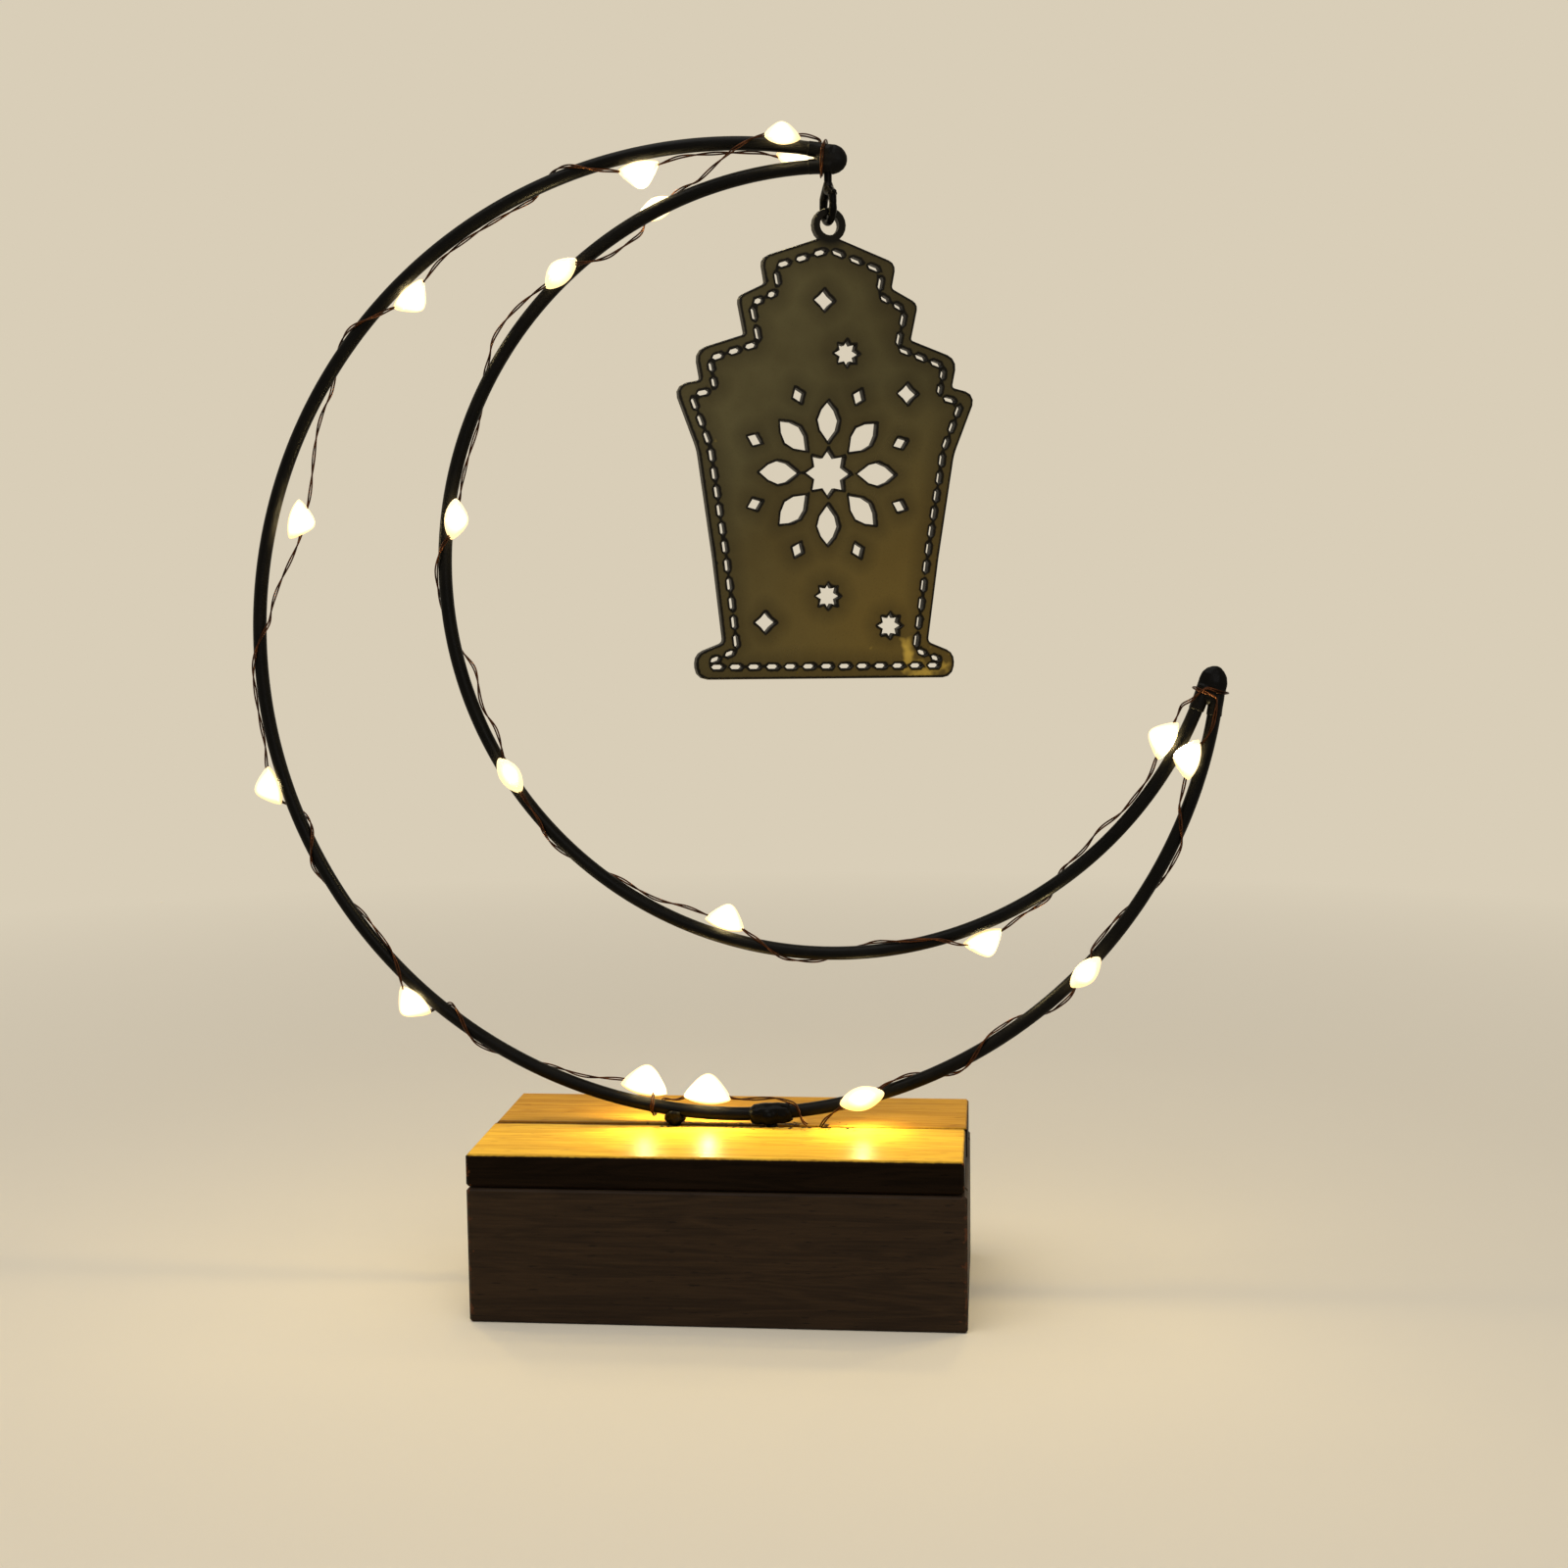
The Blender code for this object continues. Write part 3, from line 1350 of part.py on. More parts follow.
def contact_spring(name, side, facing, lamp):
    """Cone-shaped coil that presses on a cell's flat end."""
    s = case_sizes()
    seat = s["bay_start"] + GAP + CONTACT_THICKNESS + GAP
    if facing < 0:
        seat = s["bay_end"] - GAP - CONTACT_THICKNESS - GAP
    rise = SPRING_LENGTH - GAP - SPRING_WIRE
    points = []
    steps = 10 * SPRING_TURNS
    for k in range(steps + 1):
        share = k / steps
        radius = SPRING_BASE_RADIUS + share * (SPRING_TOP_RADIUS - SPRING_BASE_RADIUS)
        turn = math.tau * SPRING_TURNS * share
        along = SPRING_WIRE / 2 + rise * share
        points.append(Vector((facing * along, radius * math.cos(turn), radius * math.sin(turn))))
    gap = least_gap(points, SPRING_WIRE, 3 * MM)
    print(f"{name}: least gap to itself {gap / MM:.2f} mm")
    tube(name, points, SPRING_WIRE, nickel(), lamp, (seat, side * s["cell_y"], s["cell_z"]), resolution=1)


def contact_plate(name, x, y_low, y_high, lamp):
    s = case_sizes()
    return block(
        name,
        (x, y_low, s["cell_z"] - CONTACT_HEIGHT / 2),
        (x + CONTACT_THICKNESS, y_high, s["cell_z"] + CONTACT_HEIGHT / 2),
        nickel(),
        lamp,
    )


def contacts(lamp):
    s = case_sizes()
    near = s["bay_start"] + GAP
    far = s["bay_end"] - GAP - CONTACT_THICKNESS
    half = CONTACT_WIDTH / 2
    contact_plate("contact_front", near, -s["cell_y"] - half, -s["cell_y"] + half, lamp)
    contact_plate("contact_rear", near, s["cell_y"] - half, s["cell_y"] + half, lamp)
    contact_plate("contact_bridge", far, -s["cell_y"] - half, s["cell_y"] + half, lamp)
    contact_spring("contact_spring_front", -1, -1, lamp)
    contact_spring("contact_spring_rear", 1, 1, lamp)


def slide_switch(lamp):
    s = case_sizes()
    start = s["start_x"] + CASE_WALL + GAP
    middle_x = start + SWITCH_LENGTH / 2
    low = s["low"]
    housing = block(
        "switch_housing",
        (start, -SWITCH_WIDTH / 2, low),
        (start + SWITCH_LENGTH, SWITCH_WIDTH / 2, low + SWITCH_HEIGHT),
        nickel(),
        lamp,
    )
    slot_half = (KNOB_LENGTH + SWITCH_TRAVEL) / 2 + GAP
    slot = block(
        "switch_slot",
        (middle_x - KNOB_WIDTH / 2 - GAP, -slot_half, low - SWITCH_FACE),
        (middle_x + KNOB_WIDTH / 2 + GAP, slot_half, low + SWITCH_FACE + GAP),
        None,
        lamp,
    )
    room_half = slot_half + KNOB_FLANGE_REACH
    room_x = KNOB_WIDTH / 2 + KNOB_FLANGE_REACH + GAP
    room = block(
        "switch_inside",
        (middle_x - room_x, -room_half, low + SWITCH_FACE),
        (middle_x + room_x, room_half, low + SWITCH_FACE + KNOB_FLANGE_HEIGHT + 2 * GAP),
        None,
        lamp,
    )
    cut(housing, slot, room)
    rest_y = -SWITCH_TRAVEL / 2
    flange_low = low + SWITCH_FACE + GAP
    knob = block(
        "switch_knob",
        (middle_x - KNOB_WIDTH / 2, rest_y - KNOB_LENGTH / 2, low - KNOB_OUT),
        (middle_x + KNOB_WIDTH / 2, rest_y + KNOB_LENGTH / 2, flange_low + KNOB_FLANGE_HEIGHT),
        white_plastic(),
        lamp,
        origin=(middle_x, rest_y, low),
    )
    reach_x = KNOB_WIDTH / 2 + KNOB_FLANGE_REACH
    reach_y = KNOB_LENGTH / 2 + KNOB_FLANGE_REACH
    flange = block(
        "knob_flange",
        (middle_x - reach_x, rest_y - reach_y, flange_low),
        (middle_x + reach_x, rest_y + reach_y, flange_low + KNOB_FLANGE_HEIGHT),
        None,
        lamp,
    )
    fuse(knob, flange)


def power_pack(lamp):
    battery_case(lamp)
    battery_cover(lamp)
    battery_cell("battery_cell_front", -1, -1, lamp)
    battery_cell("battery_cell_rear", 1, 1, lamp)
    contacts(lamp)
    slide_switch(lamp)


def main():
    clear_scene()
    lamp = pivot("lamp", (BASE_CENTRE_X, 0, 0), None)
    base_boards(lamp)
    lid_boards(lamp)
    top_cap = crescent(lamp)
    frame_feet(lamp)
    splice_sleeve(lamp)
    led_string(lamp)
    pendant(top_cap, lamp)
    power_pack(lamp)


main()
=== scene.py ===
"""Finishes for a crescent moon lamp: two black rods wound with a lit LED string on a wooden base."""

import json
import math

import bmesh
import bpy
import numpy as np
from mathutils import Matrix, Vector, noise
from mathutils.geometry import delaunay_2d_cdt

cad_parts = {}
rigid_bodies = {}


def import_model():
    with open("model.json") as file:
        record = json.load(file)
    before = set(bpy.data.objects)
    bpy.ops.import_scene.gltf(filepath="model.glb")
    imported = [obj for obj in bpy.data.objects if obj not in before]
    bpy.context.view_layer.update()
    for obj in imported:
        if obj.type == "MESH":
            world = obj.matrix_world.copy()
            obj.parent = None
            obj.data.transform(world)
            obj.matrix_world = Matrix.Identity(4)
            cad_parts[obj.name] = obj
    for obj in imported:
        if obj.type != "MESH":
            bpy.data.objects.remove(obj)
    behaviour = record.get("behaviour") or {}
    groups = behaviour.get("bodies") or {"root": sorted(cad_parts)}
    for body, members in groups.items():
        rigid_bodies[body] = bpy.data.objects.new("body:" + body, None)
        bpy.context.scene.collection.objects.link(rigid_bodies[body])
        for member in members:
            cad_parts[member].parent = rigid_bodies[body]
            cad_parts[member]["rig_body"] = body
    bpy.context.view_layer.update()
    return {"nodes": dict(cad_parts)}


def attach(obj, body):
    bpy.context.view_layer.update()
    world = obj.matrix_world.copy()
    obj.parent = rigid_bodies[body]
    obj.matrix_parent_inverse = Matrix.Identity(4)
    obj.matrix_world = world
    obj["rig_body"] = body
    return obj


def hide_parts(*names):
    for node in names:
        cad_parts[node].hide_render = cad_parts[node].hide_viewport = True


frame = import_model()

MM = 0.001
NODES = frame["nodes"]
WELD = 0.002 * MM

# Base, in metres
BASE_CENTRE = Vector((-0.0016, 0, 0))
LID_TOP = 34.6 * MM
LID_UNDER = 27.9 * MM
BASE_HALF_WIDTH = 50 * MM
BASE_HALF_DEPTH = 25 * MM

# Marks on the wood: the reach of chips and their size in millimetres, the same for dark ragged spots
# along the lid's joint, then a darker band along that joint
CORNER_CHIPS = (1.6 * MM, 1.4)
JOINT_DARK_SPOTS = (4.5 * MM, 1.7)
JOINT_SPOTS_X = 4 * MM
JOINT_SPOTS_HALF = 16 * MM
SEAM_BAND_END_X = 28 * MM
SEAM_BAND_WIDTHS = (2.6 * MM, 0.9 * MM)
# Heights over which the lid's painted lit upper face gives way to its darker sides, which are charred
# and painted in shade
LIT_FACE_EDGE = (LID_TOP - 0.32 * MM, LID_TOP - 0.02 * MM)
WOOD_RELIEF = 0.05 * MM
LID_COAT = 0.015

# Rods, measured from the middle of the base, with the angles in degrees at which each one ends
ROD_RADIUS = 1.4 * MM
OUTER_RADIUS = 98.9 * MM
INNER_RADIUS = 79.3 * MM
OUTER_CENTRE = Vector((1.65 * MM, 0, 135.95 * MM))
CENTRE_GAP = 25 * MM
CRESCENT_TURN = math.radians(35.5)
INNER_CENTRE = OUTER_CENTRE + CENTRE_GAP * Vector((math.cos(CRESCENT_TURN), 0, math.sin(CRESCENT_TURN)))
ARCS = {"outer": (OUTER_CENTRE, OUTER_RADIUS), "inner": (INNER_CENTRE, INNER_RADIUS)}
TOP_TIP = {"outer": 78.50, "inner": 90.44, "way": 1}
SIDE_TIP = {"outer": 352.50, "inner": 340.56, "way": -1}

# Clasp: its frame has the bar that carries the plate at the origin
CLASP_HALF = 2.16 * MM
CLASP_BAR_RADIUS = 0.84 * MM
BALL_STEP = 0.25
CLASP_TURN = math.radians(-60)
CLASP_BAR_PLACE = BASE_CENTRE + Vector((22.7, 0, 219.115)) * MM
CLASP_FRAME = Matrix.Translation(CLASP_BAR_PLACE) @ Matrix.Rotation(CLASP_TURN, 4, "Z")

# Plate, with the bands of black and shade along its edges
FACE_STEP = 0.8 * MM
OUTLINE_BAND = (0.2 * MM, 0.45 * MM)
SHADE_BAND = (0.3 * MM, 4.0 * MM)
EDGE_CHAMFER = 0.15 * MM
EYE_CENTRE = BASE_CENTRE + Vector((22.7, 0, 218.2)) * MM
EYE_BAND = (3.4 * MM, 5.4 * MM)
# Lower corner of the plate where a reflection of the LEDs is painted
LED_GLINT_CORNER = BASE_CENTRE + Vector((47, 0, 129)) * MM

# LED string. A seat is its distance from the middle of the rod that it lies on
WIRE_SEAT = 1.86 * MM
TIP_SEAT = 2.1 * MM
BEAD_SEAT = 3.05 * MM
BEAD_HALF = 2.4 * MM
WIRE_LIFT_RUN = 6.0
WIRE_TURN_STEP = 12
WIRE_STEP = 1.5 * MM
LINE_STEP = 0.4 * MM
STRAND_RADIUS = 0.17 * MM
STRAND_OFFSET = 0.22 * MM
STRAND_TWIST = 15 * MM
STRAND_STEP = 0.5 * MM

# Its way out of the battery case and through the lid, in millimetres
SLOT_X = 19.0
CASE_END_X = 25.4
WIRE_EXIT = (9.0, 19.375)

# LED drops: a drop's reach from its wire, away from the rod and towards it, then its other sizes
DROP_OUT, DROP_IN, DROP_SIDE, DROP_HALF_LENGTH = 3.7, 1.1, 1.9, 3.6
DROP_SET_BACK = 0.4 * MM
DROP_SIZE = 1.15
DROP_SAG = 0.4
LED_WATTS = 0.027
LED_TINT = (1.0, 0.79, 0.36)
LED_LIGHT_RADIUS = 1.2 * MM
RIM_LIGHT = (1.0, 0.66, 0.24, 1)
CORE_LIGHT = (1.0, 0.9, 0.66, 1)

# Camera
CAMERA_PLACE = BASE_CENTRE + Vector((55.2, -425.2, 148.8)) * MM
CAMERA_TURNS = (5.74, 5.68, -0.69)
LENS = 48.04
SENSOR_WIDTH = 36

# Studio
WORLD_LIGHT = {"Color": (1, 0.985, 0.96, 1), "Strength": 0.42}
FLOOR_RADIUS = 4
FLOOR_FADE = (0.24, 0.62)


def screen(red, green, blue):
    """Linear colour from screen values of 0 to 255."""
    shares = (value / 255 for value in (red, green, blue))
    return (*(s / 12.92 if s <= 0.04045 else ((s + 0.055) / 1.055) ** 2.4 for s in shares), 1)


BACKDROP = screen(217, 206, 184)
FLOOR_COLOUR = screen(224, 213, 192)
SEAM_COLOUR = screen(112, 70, 18)


# Camera, light and floor


def put(name, data):
    """A new object in the scene, at the origin."""
    made = bpy.data.objects.new(name, data)
    bpy.context.scene.collection.objects.link(made)
    return made


def camera():
    """A camera at the fitted place, turned by its yaw, pitch and roll in degrees."""
    yaw, pitch, roll = (math.radians(turn) for turn in CAMERA_TURNS)
    right = Vector((math.cos(yaw), math.sin(yaw), 0))
    level = Vector((-math.sin(yaw), math.cos(yaw), 0))
    upright = Vector((0, 0, 1))
    ahead = level * math.cos(pitch) - upright * math.sin(pitch)
    above = upright * math.cos(pitch) + level * math.sin(pitch)
    across = right * math.cos(roll) + above * math.sin(roll)
    above = above * math.cos(roll) - right * math.sin(roll)
    place = Matrix((across, above, -ahead)).transposed().to_4x4()
    place.translation = CAMERA_PLACE
    data = bpy.data.cameras.new("camera")
    data.lens = LENS
    data.sensor_width = SENSOR_WIDTH
    data.clip_start = 0.01
    data.clip_end = 50
    eye = put("camera", data)
    eye.matrix_world = place
    bpy.context.scene.camera = eye


def soft_box(name, place, aim, size, watts):
    """A square studio light that points at a place and isn't seen itself."""
    data = bpy.data.lights.new(name, "AREA")
    data.shape = "SQUARE"
    data.size = size
    data.energy = watts
    lamp = put(name, data)
    lamp.location = place
    lamp.rotation_euler = (Vector(aim) - Vector(place)).to_track_quat("-Z", "Y").to_euler()
    lamp.visible_camera = False


# Sockets of a Mix node that mixes colours
MIX_SHARE, MIX_FIRST, MIX_SECOND, MIX_RESULT = 0, 6, 7, 2


class Tree:
    """A short way to place nodes in a tree and to wire them."""

    def __init__(self, tree):
        self.tree = tree

    def add(self, kind, inputs=(), **settings):
        node = self.tree.nodes.new(kind)
        for key, value in settings.items():
            setattr(node, key, value)
        for key, value in dict(inputs).items():
            self.set(node.inputs[key], value)
        return node

    def set(self, socket, value):
        if isinstance(value, bpy.types.NodeSocket):
            self.tree.links.new(value, socket)
        else:
            socket.default_value = value

    def math(self, operation, first, second=0.0, clamp=False):
        inputs = {0: first, 1: second}
        return self.add("ShaderNodeMath", inputs, operation=operation, use_clamp=clamp).outputs[0]

    def mix(self, share, first, second):
        node = self.add("ShaderNodeMix", data_type="RGBA")
        for index, value in ((MIX_SHARE, share), (MIX_FIRST, first), (MIX_SECOND, second)):
            self.set(node.inputs[index], value)
        return node.outputs[MIX_RESULT]

    def vector(self, operation, inputs, output=0):
        return self.add("ShaderNodeVectorMath", inputs, operation=operation).outputs[output]

    def in_millimetres(self, place):
        return self.vector("SCALE", {0: place, "Scale": 1000.0})

    def place(self):
        return self.add("ShaderNodeTexCoord").outputs["Object"]

    def group(self, tree, inputs):
        node = self.add("ShaderNodeGroup", node_tree=tree)
        for label, value in inputs.items():
            self.set(node.inputs[label], value)
        return node.outputs

    def span(self, value, low, high, to_low=0.0, to_high=1.0):
        inputs = {0: value, 1: low, 2: high, 3: to_low, 4: to_high}
        return self.add("ShaderNodeMapRange", inputs).outputs[0]

    def noise(self, place, scale, detail=2.0, roughness=0.5, distortion=0.0):
        inputs = {
            "Vector": place,
            "Scale": scale,
            "Detail": detail,
            "Roughness": roughness,
            "Distortion": distortion,
        }
        return self.add("ShaderNodeTexNoise", inputs).outputs[0]


def world():
    """Even pale surroundings that the camera and glossy finishes see, and a dimmer even light."""
    made = bpy.data.worlds.new("studio")
    bpy.context.scene.world = made
    made.use_nodes = True
    nodes = Tree(made.node_tree)
    made.node_tree.nodes.clear()
    path = nodes.add("ShaderNodeLightPath").outputs
    seen = nodes.math("MAXIMUM", path["Is Camera Ray"], path["Is Glossy Ray"])
    seen = nodes.math("MAXIMUM", seen, path["Is Transmission Ray"])
    light = nodes.add("ShaderNodeBackground", WORLD_LIGHT)
    shown = nodes.add("ShaderNodeBackground", {"Color": BACKDROP, "Strength": 1.0})
    both = nodes.add("ShaderNodeMixShader", {0: seen, 1: light.outputs[0], 2: shown.outputs[0]})
    nodes.add("ShaderNodeOutputWorld", {"Surface": both.outputs[0]})


def floor_material():
    """Pale matt floor that keeps the lamp's shadow and fades into the backdrop further out."""
    made = bpy.data.materials.new("pale_floor")
    made.use_nodes = True
    nodes = Tree(made.node_tree)
    made.node_tree.nodes.clear()
    out = nodes.vector("LENGTH", {0: nodes.place()}, "Value")
    path = nodes.add("ShaderNodeLightPath").outputs
    seen = nodes.math("MAXIMUM", path["Is Camera Ray"], path["Is Glossy Ray"])
    fade = nodes.math("MULTIPLY", nodes.span(out, *FLOOR_FADE), seen)
    matt = nodes.add("ShaderNodeBsdfDiffuse", {"Color": FLOOR_COLOUR})
    shown = nodes.add("ShaderNodeEmission", {"Color": BACKDROP, "Strength": 1.0})
    both = nodes.add("ShaderNodeMixShader", {0: fade, 1: matt.outputs[0], 2: shown.outputs[0]})
    nodes.add("ShaderNodeOutputMaterial", {"Surface": both.outputs[0]})
    return made


def floor():
    bm = bmesh.new()
    bmesh.ops.create_circle(bm, cap_ends=True, segments=96, radius=FLOOR_RADIUS)
    mesh = bpy.data.meshes.new("floor")
    bm.to_mesh(mesh)
    bm.free()
    mesh.materials.append(floor_material())
    put("floor", mesh)


# Shader groups


def shader_group(name, inputs, outputs):
    """A new group whose inputs are numbers with a first value, or vectors where that value is None."""
    tree = bpy.data.node_groups.new(name, "ShaderNodeTree")
    for label, value in inputs.items():
        kind = "NodeSocketVector" if value is None else "NodeSocketFloat"
        socket = tree.interface.new_socket(label, in_out="INPUT", socket_type=kind)
        if value is not None:
            socket.default_value = value
    for label in outputs:
        tree.interface.new_socket(label, in_out="OUTPUT", socket_type="NodeSocketFloat")
    nodes = Tree(tree)
    return nodes, nodes.add("NodeGroupInput").outputs, nodes.add("NodeGroupOutput").inputs


def wood_grain_group():
    """Grain that runs along X: broad bands, fine fibres and short dark pores."""
    nodes, given, out = shader_group(
        "wood_grain",
        {"Place": None, "Shift": None, "Band size": 5.0, "Fibre size": 0.5},
        ("Bands", "Fibres", "Pores", "Height"),
    )
    place = nodes.in_millimetres(nodes.vector("ADD", {0: given["Place"], 1: given["Shift"]}))
    band_scale = nodes.math("DIVIDE", 1.0, given["Band size"])
    fibre_scale = nodes.math("DIVIDE", 1.0, given["Fibre size"])
    band_place, fibre_place, pore_place = (
        nodes.vector("MULTIPLY", {0: place, 1: (squeeze, 1, 1)}) for squeeze in (0.09, 0.035, 0.14)
    )
    broad = nodes.noise(band_place, band_scale, 3.0, 0.55, 1.2)
    rings = nodes.math("SINE", nodes.math("MULTIPLY", broad, 26.0))
    bands = nodes.span(rings, -1.0, 1.0)
    fibres = nodes.noise(fibre_place, fibre_scale, 4.0, 0.6)
    fibres = nodes.span(fibres, 0.3, 0.7)
    pores = nodes.noise(pore_place, nodes.math("MULTIPLY", fibre_scale, 0.9), 1.0)
    pores = nodes.span(pores, 0.66, 0.74)
    height = nodes.math("SUBTRACT", nodes.math("MULTIPLY", fibres, 0.6), pores)
    for label, value in (("Bands", bands), ("Fibres", fibres), ("Pores", pores), ("Height", height)):
        nodes.set(out[label], value)
    return nodes.tree


def patina_group():
    """Slow blotches, small speckles and a fine surface height for paint, plastic and metal."""
    nodes, given, out = shader_group(
        "patina",
        {"Place": None, "Blotch size": 8.0, "Speckle size": 0.6},
        ("Blotches", "Speckles", "Height"),
    )
    place = nodes.in_millimetres(given["Place"])
    blotches = nodes.noise(place, nodes.math("DIVIDE", 1.0, given["Blotch size"]), 3.0, 0.55)
    fine = nodes.noise(place, nodes.math("DIVIDE", 1.0, given["Speckle size"]), 2.0, 0.6)
    nodes.set(out["Blotches"], nodes.span(blotches, 0.3, 0.7))
    nodes.set(out["Speckles"], nodes.span(fine, 0.58, 0.72))
    nodes.set(out["Height"], nodes.math("ADD", fine, nodes.math("MULTIPLY", blotches, 1.6)))
    return nodes.tree


def wear_group():
    """Chips: 1 in ragged spots that lie within a given reach of an edge or a joint."""
    nodes, given, out = shader_group(
        "wear",
        {"Place": None, "Distance": 0.0, "Reach": 0.001, "Chip size": 1.5},
        ("Chips",),
    )
    place = nodes.in_millimetres(given["Place"])
    ragged = nodes.noise(place, nodes.math("DIVIDE", 1.0, given["Chip size"]), 3.0, 0.6)
    near = nodes.math("SUBTRACT", 1.0, nodes.math("DIVIDE", given["Distance"], given["Reach"]))
    spots = nodes.math("ADD", ragged, nodes.math("MULTIPLY", near, 0.22))
    nodes.set(out["Chips"], nodes.span(spots, 0.68, 0.74))
    return nodes.tree


GRAIN = wood_grain_group()
WEAR = wear_group()
PATINA = patina_group()


# Materials


def surface(name):
    """An empty material with its Principled shader, wired to the output."""
    made = bpy.data.materials.new(name)
    made.use_nodes = True
    nodes = Tree(made.node_tree)
    made.node_tree.nodes.clear()
    shader = nodes.add("ShaderNodeBsdfPrincipled")
    nodes.add("ShaderNodeOutputMaterial", {"Surface": shader.outputs[0]})
    return made, nodes, shader.inputs


def relief(nodes, sockets, height, depth, strength):
    """A bump of a given depth under the whole surface."""
    bump = nodes.add("ShaderNodeBump", {"Height": height, "Distance": depth, "Strength": strength})
    nodes.set(sockets["Normal"], bump.outputs[0])


def chips(nodes, place, distance, reach, size):
    """A mask of chips near an edge or a joint, with their size in millimetres."""
    given = {"Place": place, "Distance": distance, "Reach": reach, "Chip size": size}
    return nodes.group(WEAR, given)["Chips"]


def patina(nodes, place, blotch, speckle):
    """Blotches, speckles and height, with their sizes in millimetres."""
    found = nodes.group(PATINA, {"Place": place, "Blotch size": blotch, "Speckle size": speckle})
    return (found[k] for k in ("Blotches", "Speckles", "Height"))


def from_corner(nodes, axes):
    """The distance to the nearest upright edge of the base's block."""
    from_side = nodes.math("ABSOLUTE", nodes.math("SUBTRACT", axes["X"], BASE_CENTRE.x))
    from_side = nodes.math("SUBTRACT", BASE_HALF_WIDTH, from_side)
    from_front = nodes.math("SUBTRACT", BASE_HALF_DEPTH, nodes.math("ABSOLUTE", axes["Y"]))
    return nodes.math("MAXIMUM", from_side, from_front)


def lid_top(nodes, place, axes, tone, pores, spot_colour, colours):
    """The lid's upper face: wood painted light, as lit by the LEDs, with dark ragged spots under the
    rods and a darker band along the joint.
    """
    dark, light, pore = colours
    # Painted light: these colours of the upper face stand for wood lit by the LEDs
    upper = nodes.mix(tone, dark, light)
    upper = nodes.mix(nodes.math("MULTIPLY", pores, 0.5), upper, pore)
    from_joint = nodes.math("ABSOLUTE", axes["Y"])
    # Dark ragged spots along the joint under the rods, in the sides' darkest colour
    along = nodes.math("ABSOLUTE", nodes.math("SUBTRACT", axes["X"], JOINT_SPOTS_X))
    along = nodes.math("MAXIMUM", nodes.math("SUBTRACT", along, JOINT_SPOTS_HALF), 0.0)
    from_spots = nodes.math("ADD", from_joint, nodes.math("MULTIPLY", along, 0.3))
    upper = nodes.mix(chips(nodes, place, from_spots, *JOINT_DARK_SPOTS), upper, spot_colour)
    # A darker band along the joint, wider towards the left end, with a ragged edge
    spread = nodes.span(axes["X"], 0.0, SEAM_BAND_END_X, *SEAM_BAND_WIDTHS)
    seam_band = nodes.math("MULTIPLY", nodes.noise(place, 70.0, 3.0), spread)
    seam = nodes.span(nodes.math("SUBTRACT", from_joint, seam_band), -0.5 * MM, 0.1 * MM, 0.85, 0.0)
    return nodes.mix(seam, upper, SEAM_COLOUR)


def on_lit_upper_face(nodes, place, axes):
    """1 on the lid's upper face, which is painted as lit by the LEDs, and 0 below its ragged edge, on
    the sides that are charred and painted in shade.
    """
    burn = nodes.math("MULTIPLY", nodes.noise(place, 900.0, 2.0), 0.2 * MM)
    edge = nodes.math("ADD", axes["Z"], burn)
    return nodes.span(edge, *LIT_FACE_EDGE)


def wood(name, shift, dark, light, pore, wear_and_glints, roughness, top=None, across=False):
    """Wood with its grain along X, or along Y with across. With top, its upper face is painted lighter,
    as lit by the LEDs, and its sides keep the darker colours as painted shade.
    """
    made, nodes, sockets = surface(name)
    place = lengthwise = nodes.place()
    if across:
        quarter = {"Vector": place, "Angle": math.pi / 2}
        lengthwise = nodes.add("ShaderNodeVectorRotate", quarter, rotation_type="Z_AXIS").outputs[0]
    grain = nodes.group(GRAIN, {"Place": lengthwise, "Shift": shift})
    bands, fibres, pores, height = (grain[k] for k in ("Bands", "Fibres", "Pores", "Height"))
    tone = nodes.math("ADD", nodes.math("MULTIPLY", bands, 0.45), nodes.math("MULTIPLY", fibres, 0.55))
    colour = nodes.mix(tone, dark, light)
    colour = nodes.mix(nodes.math("MULTIPLY", pores, 0.6), colour, pore)
    axes = nodes.add("ShaderNodeSeparateXYZ", {0: place}).outputs
    colour = nodes.mix(chips(nodes, place, from_corner(nodes, axes), *CORNER_CHIPS), colour, wear_and_glints)
    # Painted light: the upper face takes the colours of wood lit by the LEDs, and the sides stay dark
    # as painted shade
    if top:
        upward = on_lit_upper_face(nodes, place, axes)
        colour = nodes.mix(upward, colour, lid_top(nodes, place, axes, tone, pores, dark, top))
        nodes.set(sockets["Coat Weight"], nodes.math("MULTIPLY", upward, LID_COAT))
    sockets["Specular IOR Level"].default_value = 0.02 if top else 0.1
    nodes.set(sockets["Base Color"], colour)
    nodes.set(sockets["Roughness"], nodes.span(fibres, 0.0, 1.0, roughness + 0.1, roughness - 0.06))
    sockets["Coat Roughness"].default_value = 0.3
    relief(nodes, sockets, height, WOOD_RELIEF, 0.6)
    return made


def coated(
    name, colour, other, roughness, metallic=0.0, blotch=8.0, speckle=0.6, depth=0.02 * MM, specular=0.5
):
    """Paint, plastic or metal: two close colours in blotches, uneven gloss and a fine surface."""
    made, nodes, sockets = surface(name)
    blotches, speckles, height = patina(nodes, nodes.place(), blotch, speckle)
    mixed = nodes.mix(blotches, colour, other)
    mixed = nodes.mix(nodes.math("MULTIPLY", speckles, 0.25), mixed, other)
    nodes.set(sockets["Base Color"], mixed)
    nodes.set(sockets["Roughness"], nodes.span(blotches, 0.0, 1.0, roughness - 0.05, roughness + 0.08))
    sockets["Metallic"].default_value = metallic
    sockets["Specular IOR Level"].default_value = specular
    relief(nodes, sockets, height, depth, 0.7)
    return made


